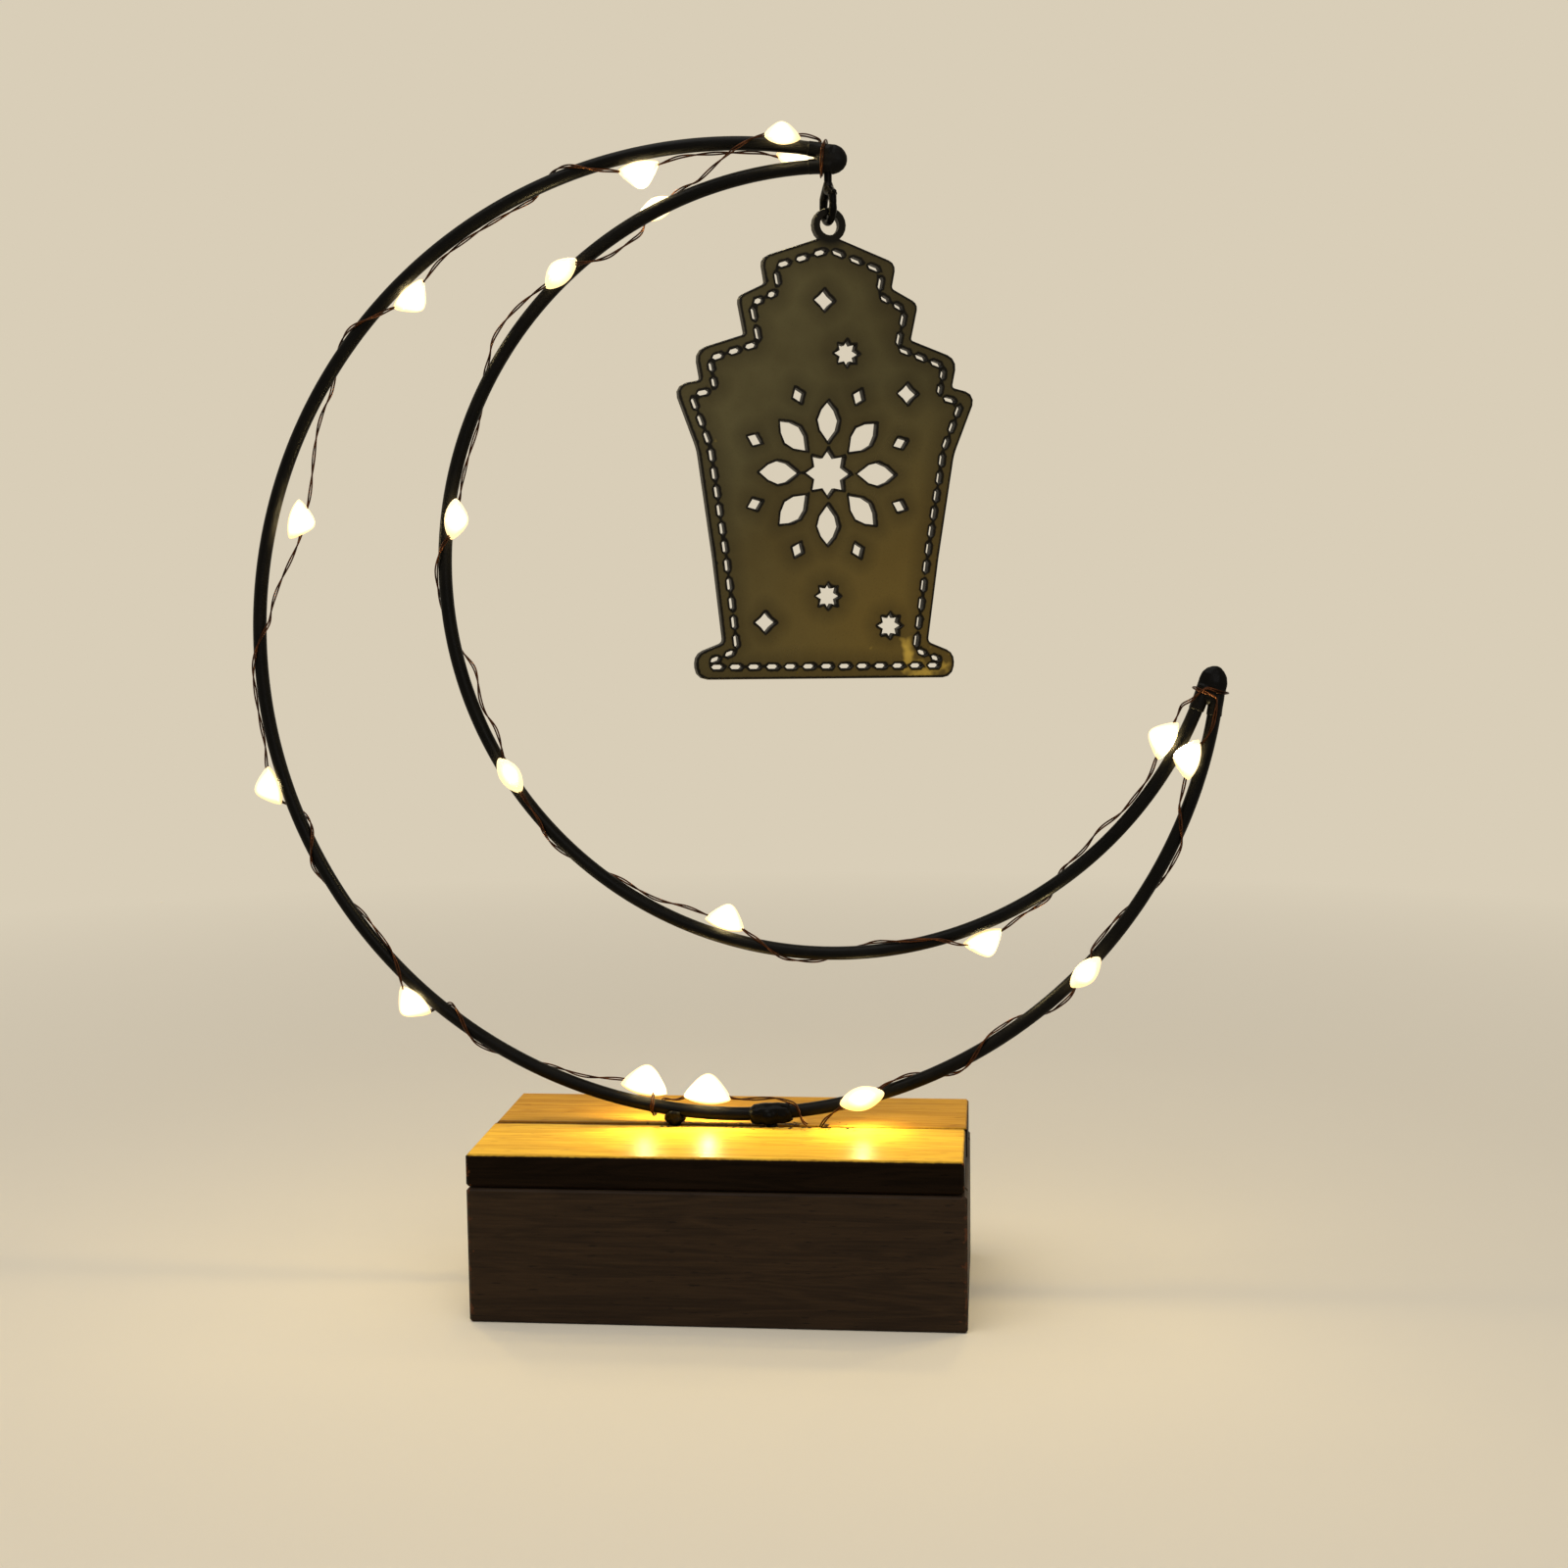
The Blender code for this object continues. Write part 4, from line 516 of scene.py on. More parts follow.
def plate_metal():
    """Olive gold with black along every edge and round the eye, and a painted warm reflection of the
    LEDs with bright glints at a lower corner.
    """
    made, nodes, sockets = surface("antique_gold")
    place = nodes.place()
    blotches, speckles, height = patina(nodes, place, 18.0, 0.3)
    from_edge = nodes.add("ShaderNodeAttribute", attribute_name="from_edge").outputs["Fac"]
    ragged = nodes.math("MULTIPLY", nodes.noise(place, 1400.0, 2.0), 0.3 * MM)
    outline = nodes.span(nodes.math("SUBTRACT", from_edge, ragged), *OUTLINE_BAND, 0.95, 0.0)
    shade = nodes.span(from_edge, *SHADE_BAND, 0.45, 0.0)
    colour = nodes.mix(blotches, screen(80, 74, 48), screen(64, 57, 34))
    # Painted reflection of the LEDs: a warmer patch and small bright glints near a lower corner
    away = nodes.vector("DISTANCE", {0: place, 1: LED_GLINT_CORNER}, "Value")
    warm = nodes.span(away, 60 * MM, 8 * MM, 0.0, 0.8)
    colour = nodes.mix(warm, colour, screen(112, 92, 42))
    near = nodes.span(away, 20 * MM, 4 * MM, -0.3, 0.16)
    wear_and_glints = nodes.math("ADD", nodes.noise(place, 260.0, 2.0, 0.5), near)
    colour = nodes.mix(nodes.span(wear_and_glints, 0.5, 0.66), colour, screen(208, 176, 80))
    colour = nodes.mix(shade, colour, screen(38, 31, 17))
    colour = nodes.mix(nodes.math("MULTIPLY", speckles, 0.25), colour, screen(50, 43, 26))
    away = nodes.vector("DISTANCE", {0: place, 1: EYE_CENTRE}, "Value")
    dark = nodes.math("MAXIMUM", outline, nodes.span(away, *EYE_BAND, 0.95, 0.0))
    colour = nodes.mix(dark, colour, screen(9, 8, 6))
    nodes.set(sockets["Base Color"], colour)
    nodes.set(sockets["Roughness"], nodes.span(blotches, 0.0, 1.0, 0.26, 0.38))
    sockets["Metallic"].default_value = 0.8
    sockets["Specular IOR Level"].default_value = 0.3
    relief(nodes, sockets, height, 0.008 * MM, 0.7)
    return made


def lit_resin():
    """Drop filled by its own LED's light, whitest in its middle and warm at its rim."""
    made, nodes, sockets = surface("lit_resin")
    sockets["Base Color"].default_value = (1, 0.9, 0.7, 1)
    sockets["Roughness"].default_value = 0.15
    core = nodes.add("ShaderNodeAttribute", attribute_name="core").outputs["Fac"]
    rim = nodes.add("ShaderNodeLayerWeight", {"Blend": 0.5}).outputs["Facing"]
    bright = nodes.math("SUBTRACT", core, nodes.span(rim, 0.15, 0.6), clamp=True)
    tint = nodes.mix(bright, RIM_LIGHT, CORE_LIGHT)
    nodes.set(sockets["Emission Color"], tint)
    nodes.set(sockets["Emission Strength"], nodes.span(bright, 0.0, 1.0, 0.9, 1.7))
    made.cycles.emission_sampling = "NONE"
    return made


def finishes():
    """Every finish of the lamp, by the name that the pieces use."""
    walnut = (screen(31, 21, 12), screen(50, 36, 22), screen(11, 6, 3), screen(70, 40, 22))
    # The lid's sides: dark charred cut edges, darkened further as painted shade
    burnt_shaded_sides = (screen(13, 8, 4), screen(26, 17, 9), screen(8, 5, 2), screen(84, 48, 24))
    # The lid's upper faces: painted light from the LEDs, yellow on the front board and darker on the
    # rear board, painted as less lit
    led_lit_front_top = (screen(182, 134, 42), screen(218, 175, 60), screen(143, 96, 31))
    dimmer_lit_rear_top = (screen(152, 106, 32), screen(186, 140, 48), screen(117, 76, 24))
    black = (screen(3, 3, 3), screen(9, 8, 7))
    jet = (screen(3, 3, 3), screen(7, 6, 5))
    soot = (screen(12, 10, 7), screen(22, 18, 11))
    return {
        "front_wood": wood("stained_wood_front", (0.31, 0.02, 0.11), *walnut, 0.5),
        "rear_wood": wood("stained_wood_rear", (0.77, 0.41, 0.23), *walnut, 0.5),
        "left_wood": wood("stained_wood_left", (1.13, 0.17, 0.53), *walnut, 0.5, across=True),
        "right_wood": wood("stained_wood_right", (1.71, 0.29, 0.37), *walnut, 0.5, across=True),
        "lid_front_wood": wood("lid_wood_front", (2.3, 0.63, 0.19), *burnt_shaded_sides, 0.42, led_lit_front_top),
        "lid_rear_wood": wood("lid_wood_rear", (2.9, 0.71, 0.47), *burnt_shaded_sides, 0.42, dimmer_lit_rear_top),
        "black_paint": coated(
            "black_paint", *black, roughness=0.34, blotch=6.0, depth=0.06 * MM, specular=0.07
        ),
        "black_shrink": coated(
            "black_shrink", *jet, roughness=0.2, blotch=4.0, speckle=2.0, depth=0.01 * MM, specular=0.06
        ),
        "copper": coated("enamelled_copper", screen(84, 50, 30), screen(30, 18, 12), 0.32, 1.0, 2.0),
        "gold": plate_metal(),
        "blackened": coated("blackened_edge", *soot, roughness=0.45, blotch=1.5, specular=0.2),
        "gunmetal": coated("gunmetal", screen(17, 16, 15), screen(10, 9, 9), 0.3, 1.0, 2.0),
        "plastic": coated("black_plastic", screen(22, 22, 23), screen(30, 30, 31), 0.45, speckle=0.3),
        "foam": coated("foam_tape", screen(214, 212, 204), screen(190, 188, 180), 0.9, depth=0.1 * MM),
        "cell": coated("cell_jacket", screen(58, 74, 92), screen(48, 62, 80), 0.3, 0.3, 20.0),
        "nickel": coated("nickel", screen(196, 190, 178), screen(170, 164, 152), 0.24, 1.0, 5.0),
        "white_plastic": coated("white_plastic", screen(222, 220, 212), screen(208, 206, 198), 0.4),
        "resin": lit_resin(),
    }


FINISH = finishes()

CAD_FINISHES = {
    "base_front_board": "front_wood",
    "base_rear_board": "rear_wood",
    "base_left_board": "left_wood",
    "base_right_board": "right_wood",
    "lid_front_board": "lid_front_wood",
    "lid_rear_board": "lid_rear_wood",
    "battery_case": "plastic",
    "battery_cover": "plastic",
    "foam_pad": "foam",
    "contact_front": "nickel",
    "contact_rear": "nickel",
    "contact_bridge": "nickel",
    "switch_housing": "nickel",
    "switch_knob": "white_plastic",
}

# Round CAD pieces shown with smooth shading: node, finish, material slot, sharp angle in degrees
ROUND_PIECES = (
    ("frame_foot_right", "black_paint", "black_rod", 40),
    ("battery_cell_front", "cell", "cell_jacket", 35),
    ("battery_cell_rear", "cell", "cell_jacket", 35),
    ("contact_spring_front", "nickel", "nickel", 80),
    ("contact_spring_rear", "nickel", "nickel", 80),
)


def new_piece(name, mesh, finish_names, slot, body, *nodes):
    """A shown piece that rides on a body and stands for some CAD nodes."""
    piece = put(name, mesh)
    for finish_name in finish_names:
        mesh.materials.append(FINISH[finish_name])
    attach(piece, body)
    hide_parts(*nodes)
    return piece


def merged_mesh(node):
    """A copy of a CAD node's mesh with its triangles joined up."""
    mesh = NODES[node].data.copy()
    mesh.materials.clear()
    bm = bmesh.new()
    bm.from_mesh(mesh)
    bmesh.ops.remove_doubles(bm, verts=bm.verts, dist=WELD)
    bm.to_mesh(mesh)
    bm.free()
    return mesh


def round_piece(node, finish_name, slot, sharp_angle):
    """A copy of a round CAD node with smooth shading, shown in its place."""
    mesh = merged_mesh(node)
    mesh.shade_smooth()
    mesh.set_sharp_from_angle(angle=math.radians(sharp_angle))
    new_piece(f"{node}_shown", mesh, [finish_name], slot, NODES[node]["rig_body"], node)


def evaluated_mesh(source):
    """The plain mesh that an object's modifiers make. The object itself is removed."""
    bpy.context.view_layer.update()
    ready = source.evaluated_get(bpy.context.evaluated_depsgraph_get())
    mesh = bpy.data.meshes.new_from_object(ready)
    bpy.data.objects.remove(source)
    return mesh


def melted(name, meshes, voxel, rounds, lumps=0.0, lump_size=1.0):
    """Several closed bodies run together into one skin with soft corners and slow lumps."""
    bm = bmesh.new()
    for mesh in meshes:
        bm.from_mesh(mesh)
    joined = bpy.data.meshes.new(name)
    bm.to_mesh(joined)
    bm.free()
    form = put(name, joined)
    skin = form.modifiers.new("skin", "REMESH")
    skin.mode = "VOXEL"
    skin.voxel_size = voxel
    ease = form.modifiers.new("ease", "SMOOTH")
    ease.factor = 0.5
    ease.iterations = rounds
    mesh = evaluated_mesh(form)
    if lumps:
        normals = [vertex.normal.copy() for vertex in mesh.vertices]
        for vertex, normal in zip(mesh.vertices, normals):
            vertex.co += lumps * noise.noise(vertex.co / lump_size) * normal
    mesh.materials.clear()
    mesh.shade_smooth()
    return mesh


def ball(place, radius, stretch=(1, 1, 1)):
    """A ball, or one stretched along the axes, for a form that is melted together."""
    bm = bmesh.new()
    bmesh.ops.create_icosphere(bm, subdivisions=3, radius=1)
    for vertex in bm.verts:
        vertex.co = Vector(place) + Vector(vertex.co[k] * stretch[k] * radius for k in range(3))
    mesh = bpy.data.meshes.new("ball")
    bm.to_mesh(mesh)
    bm.free()
    return mesh


# Geometry Nodes


def geometry_tree(name, inputs):
    """A new geometry tree with named inputs of given kinds, ready for nodes."""
    tree = bpy.data.node_groups.new(name, "GeometryNodeTree")
    tree.interface.new_socket("Geometry", in_out="INPUT", socket_type="NodeSocketGeometry")
    for label, kind in inputs.items():
        tree.interface.new_socket(label, in_out="INPUT", socket_type=f"NodeSocket{kind}")
    tree.interface.new_socket("Geometry", in_out="OUTPUT", socket_type="NodeSocketGeometry")
    nodes = Tree(tree)
    return nodes, nodes.add("NodeGroupInput").outputs, nodes.add("NodeGroupOutput").inputs


def made_by(tree, source, values):
    """The mesh that a tree makes from a source object, with its named inputs set."""
    modifier = source.modifiers.new("made", "NODES")
    modifier.node_group = tree
    for item in tree.interface.items_tree:
        if item.in_out == "INPUT" and item.name in values:
            modifier[item.identifier] = values[item.name]
    mesh = evaluated_mesh(source)
    mesh.materials.clear()
    return mesh


def finish_tree(nodes, last, given, out):
    """The end of each tree: instances made real, then the material."""
    real = nodes.add("GeometryNodeRealizeInstances", {0: last.outputs[0]})
    painted = {"Geometry": real.outputs[0], "Material": given["Material"]}
    nodes.set(out["Geometry"], nodes.add("GeometryNodeSetMaterial", painted).outputs[0])


def stock_tree(strands):
    """Round stock along a line. Several strands twist round each other about that line."""
    nodes, given, out = geometry_tree(
        f"round_stock_{strands}",
        {
            "Radius": "Float",
            "Offset": "Float",
            "Twist length": "Float",
            "Step": "Float",
            "Sides": "Int",
            "Material": "Material",
        },
    )
    measured = {"Curve": given["Geometry"], "Length": given["Step"]}
    line = nodes.add("GeometryNodeResampleCurve", measured, mode="LENGTH")
    length = nodes.add("GeometryNodeSplineParameter").outputs["Length"]
    turn = nodes.math("MULTIPLY", nodes.math("DIVIDE", length, given["Twist length"]), math.tau)
    normal = nodes.add("GeometryNodeInputNormal").outputs[0]
    tangent = nodes.add("GeometryNodeInputTangent").outputs[0]
    side = nodes.vector("CROSS_PRODUCT", {0: tangent, 1: normal})
    circle = {"Radius": given["Radius"], "Resolution": given["Sides"]}
    profile = nodes.add("GeometryNodeCurvePrimitiveCircle", circle)
    joined = nodes.add("GeometryNodeJoinGeometry")
    for k in range(strands):
        phase = nodes.math("ADD", turn, math.tau * k / strands)
        parts = []
        for axis, operation in ((normal, "COSINE"), (side, "SINE")):
            share = nodes.math("MULTIPLY", nodes.math(operation, phase), given["Offset"])
            parts.append(nodes.vector("SCALE", {0: axis, "Scale": share}))
        shift = nodes.vector("ADD", dict(enumerate(parts)))
        strand = nodes.add("GeometryNodeSetPosition", {"Geometry": line.outputs[0], "Offset": shift})
        solid = nodes.add(
            "GeometryNodeCurveToMesh",
            {"Curve": strand.outputs[0], "Profile Curve": profile.outputs[0], "Fill Caps": True},
        )
        nodes.tree.links.new(solid.outputs[0], joined.inputs[0])
    finish_tree(nodes, joined, given, out)
    return nodes.tree


ROD_STOCK = stock_tree(1)
STRAND_STOCK = stock_tree(2)


def line_object(name, points):
    """A line of straight stretches through some points."""
    curve = bpy.data.curves.new(name, "CURVE")
    curve.dimensions = "3D"
    spline = curve.splines.new("POLY")
    spline.points.add(len(points) - 1)
    for target, point in zip(spline.points, points):
        target.co = (*point, 1)
    return put(name, curve)


# LED string, along the same route as the CAD wire


def arc_point(arc, angle):
    """A point on the middle line of a rod."""
    centre, radius = ARCS[arc]
    turn = math.radians(angle)
    return centre + radius * Vector((math.cos(turn), 0, math.sin(turn)))


def on_rod(arc, angle, phase, reach):
    """A point beside a rod: phase 0 is away from the arc's centre, 90 in front of the rod."""
    at = arc_point(arc, angle)
    outward = (at - ARCS[arc][0]).normalized()
    turn = math.radians(phase)
    return at + reach * (math.cos(turn) * outward - math.sin(turn) * Vector((0, 1, 0)))


def arc_angle(arc, where, back):
    """The angle on an arc at some way back along it from a tip, or past it where back is negative."""
    return where[arc] + where["way"] * math.degrees(back / ARCS[arc][1])


def held(arc, angle, phase, reach=WIRE_SEAT):
    """A stop at which the wire lies on a rod, or stands off it by more than its seat."""
    return {"arc": arc, "angle": angle, "phase": phase, "reach": reach, "bead": False}


def bead(arc, angle, phase, reach=BEAD_SEAT, size=DROP_SIZE):
    """A stop with an LED drop."""
    return {"arc": arc, "angle": angle, "phase": phase, "reach": reach, "bead": True, "size": size}


def near_tip(arc, where, back, phase, reach=WIRE_SEAT):
    """A stop on the wire at some way back from a tip."""
    return held(arc, arc_angle(arc, where, back), phase, reach)


def free(x, y, z):
    """A stop away from the rods, in millimetres from the middle of the base."""
    return {"arc": None, "point": Vector((x, y, z)) * MM, "bead": False}


def tip_turns(where, back, pitch, first, last, sense):
    """A ring round both rods at a tip, in sixths of a turn, that climbs by its pitch each turn."""
    ring = (("outer", 90), ("outer", 0), ("outer", -90), ("inner", 270), ("inner", 180), ("inner", 90))
    stops = []
    for step in range(first, last + 1):
        arc, phase = ring[sense * step % len(ring)]
        climb = pitch * (step - first) / len(ring)
        stops.append(near_tip(arc, where, back - climb, phase, TIP_SEAT))
    return stops


def wire_route():
    """The string's stops, from the battery case round both rods and back to the lid."""
    lid, under, slot, end = LID_TOP / MM, LID_UNDER / MM, SLOT_X, CASE_END_X
    exit_y, exit_z = WIRE_EXIT
    return [
        free(end - 1.0, exit_y, exit_z),
        free(end + 1.3, exit_y, exit_z),
        free(end + 2.3, exit_y - 0.4, exit_z + 1.2),
        free(end + 2.5, exit_y - 1.4, exit_z + 3.3),
        free(end + 1.4, exit_y - 3.5, under - 1.7),
        free(slot + 3.4, 2.0, under - 1.2),
        free(slot + 1.2, 0.5, under - 0.9),
        free(slot + 0.3, 0, under + 0.3),
        free(slot, 0, under + 3.2),
        free(slot, 0, lid - 0.4),
        free(slot + 1.4, -0.9, lid + 1.9),
        free(slot + 4.2, -2.4, lid + 4.4),
        bead("outer", 285.6, -977, size=1.3),
        held("outer", 290.5, -905),
        held("outer", 297.2, -720),
        held("outer", 303.1, -540),
        held("outer", 306, -530),
        held("outer", 310.7, -360),
        bead("outer", 316.7, -274),
        held("outer", 319.5, -180),
        held("outer", 323, -170),
        held("outer", 331.5, -5),
        held("outer", 334.6, 5),
        held("outer", 337, 90),
        held("outer", 339.5, 150, 2.4 * MM),
        bead("outer", 345.1, 155),
        near_tip("outer", SIDE_TIP, 8.5 * MM, 120),
        near_tip("outer", SIDE_TIP, 5.2 * MM, 90),
        *tip_turns(SIDE_TIP, -0.6 * MM, 1.1 * MM, 0, 7, -1),
        near_tip("inner", SIDE_TIP, 1.8 * MM, 135, 2.5 * MM),
        near_tip("inner", SIDE_TIP, 3.3 * MM, 165, 3.3 * MM),
        near_tip("inner", SIDE_TIP, 5.0 * MM, 165, 3.1 * MM),
        bead("inner", 332.4, 165, 3.1 * MM),
        held("inner", 326, 175),
        held("inner", 315.5, 180, 2.9 * MM),
        held("inner", 308, 190),
        held("inner", 303, 350),
        bead("inner", 292.2, 360),
        held("inner", 285.8, 465),
        held("inner", 278.5, 520),
        held("inner", 267.5, 710),
        held("inner", 264, 730),
        held("inner", 258, 880),
        bead("inner", 253.1, 900, 3.3 * MM),
        held("inner", 247.5, 900, 3.4 * MM),
        held("inner", 237.3, 905),
        held("inner", 225, 1075),
        held("inner", 220.4, 1170),
        bead("inner", 212.4, 1190),
        held("inner", 205, 1260, 2.6 * MM),
        held("inner", 196, 1260, 3.0 * MM),
        held("inner", 190, 1360),
        held("inner", 181, 1440),
        bead("inner", 172.05, 1576),
        held("inner", 166, 1620),
        held("inner", 158, 1640),
        held("inner", 148.5, 1795),
        held("inner", 145.3, 1800, 3.4 * MM),
        bead("inner", 131.8, 1880),
        held("inner", 124.4, 1980, 2.8 * MM),
        held("inner", 119.4, 2000, 2.6 * MM),
        bead("inner", 115.3, 2088),
        held("inner", 111.5, 2140),
        held("inner", 108.3, 2190),
        free(0.5, -2.2, 230.4),
        free(4.2, -2.4, 233.2),
        held("outer", 86.3, 60),
        bead("outer", 82.98, 60, 3.1 * MM, 1.0),
        *tip_turns(TOP_TIP, 0.6 * MM, 1.2 * MM, 1, 8, 1),
        near_tip("outer", TOP_TIP, 0.8 * MM, -104, 2.8 * MM),
        near_tip("outer", TOP_TIP, 1.4 * MM, -114, 3.5 * MM),
        bead("outer", 81.3, -119, 3.5 * MM),
        held("outer", 86, -145),
        held("outer", 93, -170),
        bead("outer", 100.2, -180),
        held("outer", 104.3, -205),
        held("outer", 109.5, -355),
        held("outer", 114, -530),
        held("outer", 123.7, -540),
        bead("outer", 132.5, -540, 3.2 * MM),
        held("outer", 136, -560),
        held("outer", 141.2, -710),
        held("outer", 148.8, -900, 2.4 * MM),
        bead("outer", 164.1, -900, 6.8 * MM),
        held("outer", 177.2, -910, 2.4 * MM),
        held("outer", 180.2, -990),
        held("outer", 185, -1075),
        bead("outer", 197.06, -1080),
        held("outer", 203.3, -1260),
        held("outer", 208.5, -1435),
        held("outer", 217, -1610),
        held("outer", 221.5, -1640),
        bead("outer", 228.03, -1760),
        held("outer", 231.8, -1970),
        held("outer", 237.5, -2155),
        held("outer", 249, -2330),
        bead("outer", 258.25, -2340, 4.2 * MM, 1.35),
        held("outer", 259.75, -2400, 3.2 * MM),
        held("outer", 260.05, -2500),
        held("outer", 260.9, -2680),
        held("outer", 262.4, -2700),
        bead("outer", 266.35, -2700, 4.2 * MM, 1.35),
        held("outer", 270.0, -2700, 3.1 * MM),
        held("outer", 274.6, -2700, 3.2 * MM),
        held("outer", 277.6, -2750, 3.0 * MM),
        free(slot - 3.2, -2.6, lid + 1.4),
        free(slot - 2.4, -2.3, lid + 0.9),
    ]


def stop_point(stop):
    if stop["arc"] is None:
        return stop["point"]
    return on_rod(stop["arc"], stop["angle"], stop["phase"], stop["reach"])


def bead_frame(stop):
    """A bead's centre, the wire's direction through it, the direction away from the rod."""
    centre = stop_point(stop)
    turn = math.radians(stop["angle"])
    along = Vector((-math.sin(turn), 0, math.cos(turn)))
    return centre, along, (centre - arc_point(stop["arc"], stop["angle"])).normalized()


def smooth_step(share):
    """0 to 1 with soft ends."""
    share = min(1.0, max(0.0, share))
    return share * share * (3 - 2 * share)


def lift_between(here, after, done, run):
    """The wire's reach from the rod's middle between two stops. It lies on the rod where it can."""
    lifts = (here["reach"] - WIRE_SEAT, after["reach"] - WIRE_SEAT)
    if run < WIRE_LIFT_RUN * sum(lifts):
        return here["reach"] + (after["reach"] - here["reach"]) * smooth_step(done / run)
    reach = WIRE_SEAT
    for lift, distance in zip(lifts, (done, run - done)):
        if lift > 0:
            reach += lift * (1 - smooth_step(distance / (WIRE_LIFT_RUN * lift)))
    return reach


def stretch(here, after):
    """The points between two stops on the same rod."""
    length = abs(math.radians(after["angle"] - here["angle"])) * ARCS[here["arc"]][1]
    from_end = BEAD_HALF if here["bead"] else 0.0
    to_end = BEAD_HALF if after["bead"] else 0.0
    run = max(length - from_end - to_end, 0.0)
    turned = abs(after["phase"] - here["phase"])
    steps = max(1, math.ceil(max(turned / WIRE_TURN_STEP, run / WIRE_STEP)))
    points = []
    for step in range(1, steps):
        done = run * step / steps
        angle = here["angle"] + (from_end + done) / length * (after["angle"] - here["angle"])
        phase = here["phase"] + step / steps * (after["phase"] - here["phase"])
        points.append(on_rod(here["arc"], angle, phase, lift_between(here, after, done, run)))
    return points


def wire_points(route):
    """The whole line of the string, straight through each drop."""
    points = []
    for here, after in zip(route, route[1:] + [None]):
        if here["bead"]:
            centre, along, _ = bead_frame(here)
            if along.dot(stop_point(after) - centre) < 0:
                along = -along
            points += [centre - along * BEAD_HALF, centre + along * BEAD_HALF]
        else:
            points.append(stop_point(here))
        if after and here["arc"] and here["arc"] == after["arc"]:
            points += stretch(here, after)
    return points


def even_line(points, step):
    """The same line with points a step apart."""
    line = [points[0]]
    left = step
    for start, end in zip(points, points[1:]):
        length = (end - start).length
        done = left
        while done < length:
            line.append(start.lerp(end, done / length))
            done += step
        left = done - length
    line.append(points[-1])
    return line


def eased(points, rounds):
    """Corners rounded by moving each point part of the way to its neighbours' middle."""
    for _ in range(rounds):
        middle = [p.lerp((a + b) / 2, 0.5) for a, p, b in zip(points, points[1:], points[2:])]
        points = [points[0], *middle, points[-1]]
    return points


def strands():
    """The string's two strands, twisted round each other."""
    points = eased(even_line(wire_points(wire_route()), LINE_STEP), 6)
    line = line_object("wire_line", [point + BASE_CENTRE for point in points])
    values = {
        "Radius": STRAND_RADIUS,
        "Offset": STRAND_OFFSET,
        "Twist length": STRAND_TWIST,
        "Step": STRAND_STEP,
        "Sides": 6,
        "Material": FINISH["copper"],
    }
    mesh = made_by(STRAND_STOCK, line, values)
    mesh.shade_smooth()
    new_piece("led_strands", mesh, ["copper"], "copper", "lamp", "led_wire")


def drop_form():
    """One resin drop: its wire runs along Z, and it rises from the rod along X like a bell."""
    bm = bmesh.new()
    bmesh.ops.create_uvsphere(bm, u_segments=28, v_segments=18, radius=1)
    core = bm.verts.layers.float.new("core")
    for vertex in bm.verts:
        x, y, z = vertex.co
        vertex[core] = 1 - abs(z) ** 3
        girth = 1 - 0.3 * z * z
        out = DROP_OUT if x > 0 else DROP_IN
        half_length = DROP_HALF_LENGTH - 0.7 * x - 0.3 * x * x
        vertex.co = Vector((x * out * girth, y * DROP_SIDE * girth, z * half_length)) * MM
    mesh = bpy.data.meshes.new("drop_form")
    bm.to_mesh(mesh)
    bm.free()
    mesh.shade_smooth()
    return put("drop_form", mesh)


def drops_tree():
    """A drop on each point, turned by the point's two directions."""
    inputs = {"Drop": "Object", "Size": "Float", "Material": "Material"}
    nodes, given, out = geometry_tree("resin_drops", inputs)
    size = nodes.add("GeometryNodeInputNamedAttribute", {"Name": "size"}, data_type="FLOAT").outputs[0]
    form = nodes.add("GeometryNodeObjectInfo", {"Object": given["Drop"]})
    axes = nodes.add("FunctionNodeAxesToRotation", primary_axis="Z", secondary_axis="X")
    for label, name in (("Primary Axis", "along"), ("Secondary Axis", "away")):
        read = nodes.add("GeometryNodeInputNamedAttribute", {"Name": name}, data_type="FLOAT_VECTOR")
        nodes.set(axes.inputs[label], read.outputs[0])
    placed = nodes.add(
        "GeometryNodeInstanceOnPoints",
        {
            "Points": given["Geometry"],
            "Instance": form.outputs["Geometry"],
            "Rotation": axes.outputs[0],
            "Scale": nodes.math("MULTIPLY", given["Size"], size),
        },
    )
    finish_tree(nodes, placed, given, out)
    return nodes.tree


def led_light(count, place):
    """The light of one LED, inside its drop."""
    data = bpy.data.lights.new(f"led_light_{count}", "POINT")
    data.energy = LED_WATTS
    data.color = LED_TINT
    data.shadow_soft_size = LED_LIGHT_RADIUS
    lamp = put(f"led_light_{count}", data)
    lamp.location = place
    lamp.visible_camera = False


def led_drops():
    """All resin drops in one piece, with a light in each."""
    beads = [stop for stop in wire_route() if stop["bead"]]
    frames = [bead_frame(stop) for stop in beads]
    mesh = bpy.data.meshes.new("drop_places")
    middles = []
    for stop, (centre, _, away) in zip(beads, frames):
        back = DROP_SET_BACK + max(0.0, stop["reach"] - BEAD_SEAT) * DROP_SAG
        middles.append(centre - away * back + BASE_CENTRE)
    mesh.from_pydata([tuple(middle) for middle in middles], [], [])
    for name, index in (("along", 1), ("away", 2)):
        values = mesh.attributes.new(name, "FLOAT_VECTOR", "POINT")
        values.data.foreach_set("vector", [part for stop in frames for part in stop[index]])
    sizes = mesh.attributes.new("size", "FLOAT", "POINT")
    sizes.data.foreach_set("value", [stop["size"] for stop in beads])
    form = drop_form()
    values = {"Drop": form, "Size": 1.0, "Material": FINISH["resin"]}
    shown = made_by(drops_tree(), put("drop_places", mesh), values)
    bpy.data.objects.remove(form)
    nodes = [f"led_bead_{count}" for count in range(1, len(frames) + 1)]
    piece = new_piece("led_drops", shown, ["resin"], "warm_resin", "lamp", *nodes)
    piece.visible_shadow = False
    for count, middle in enumerate(middles, start=1):
        led_light(count, middle)


# Rods


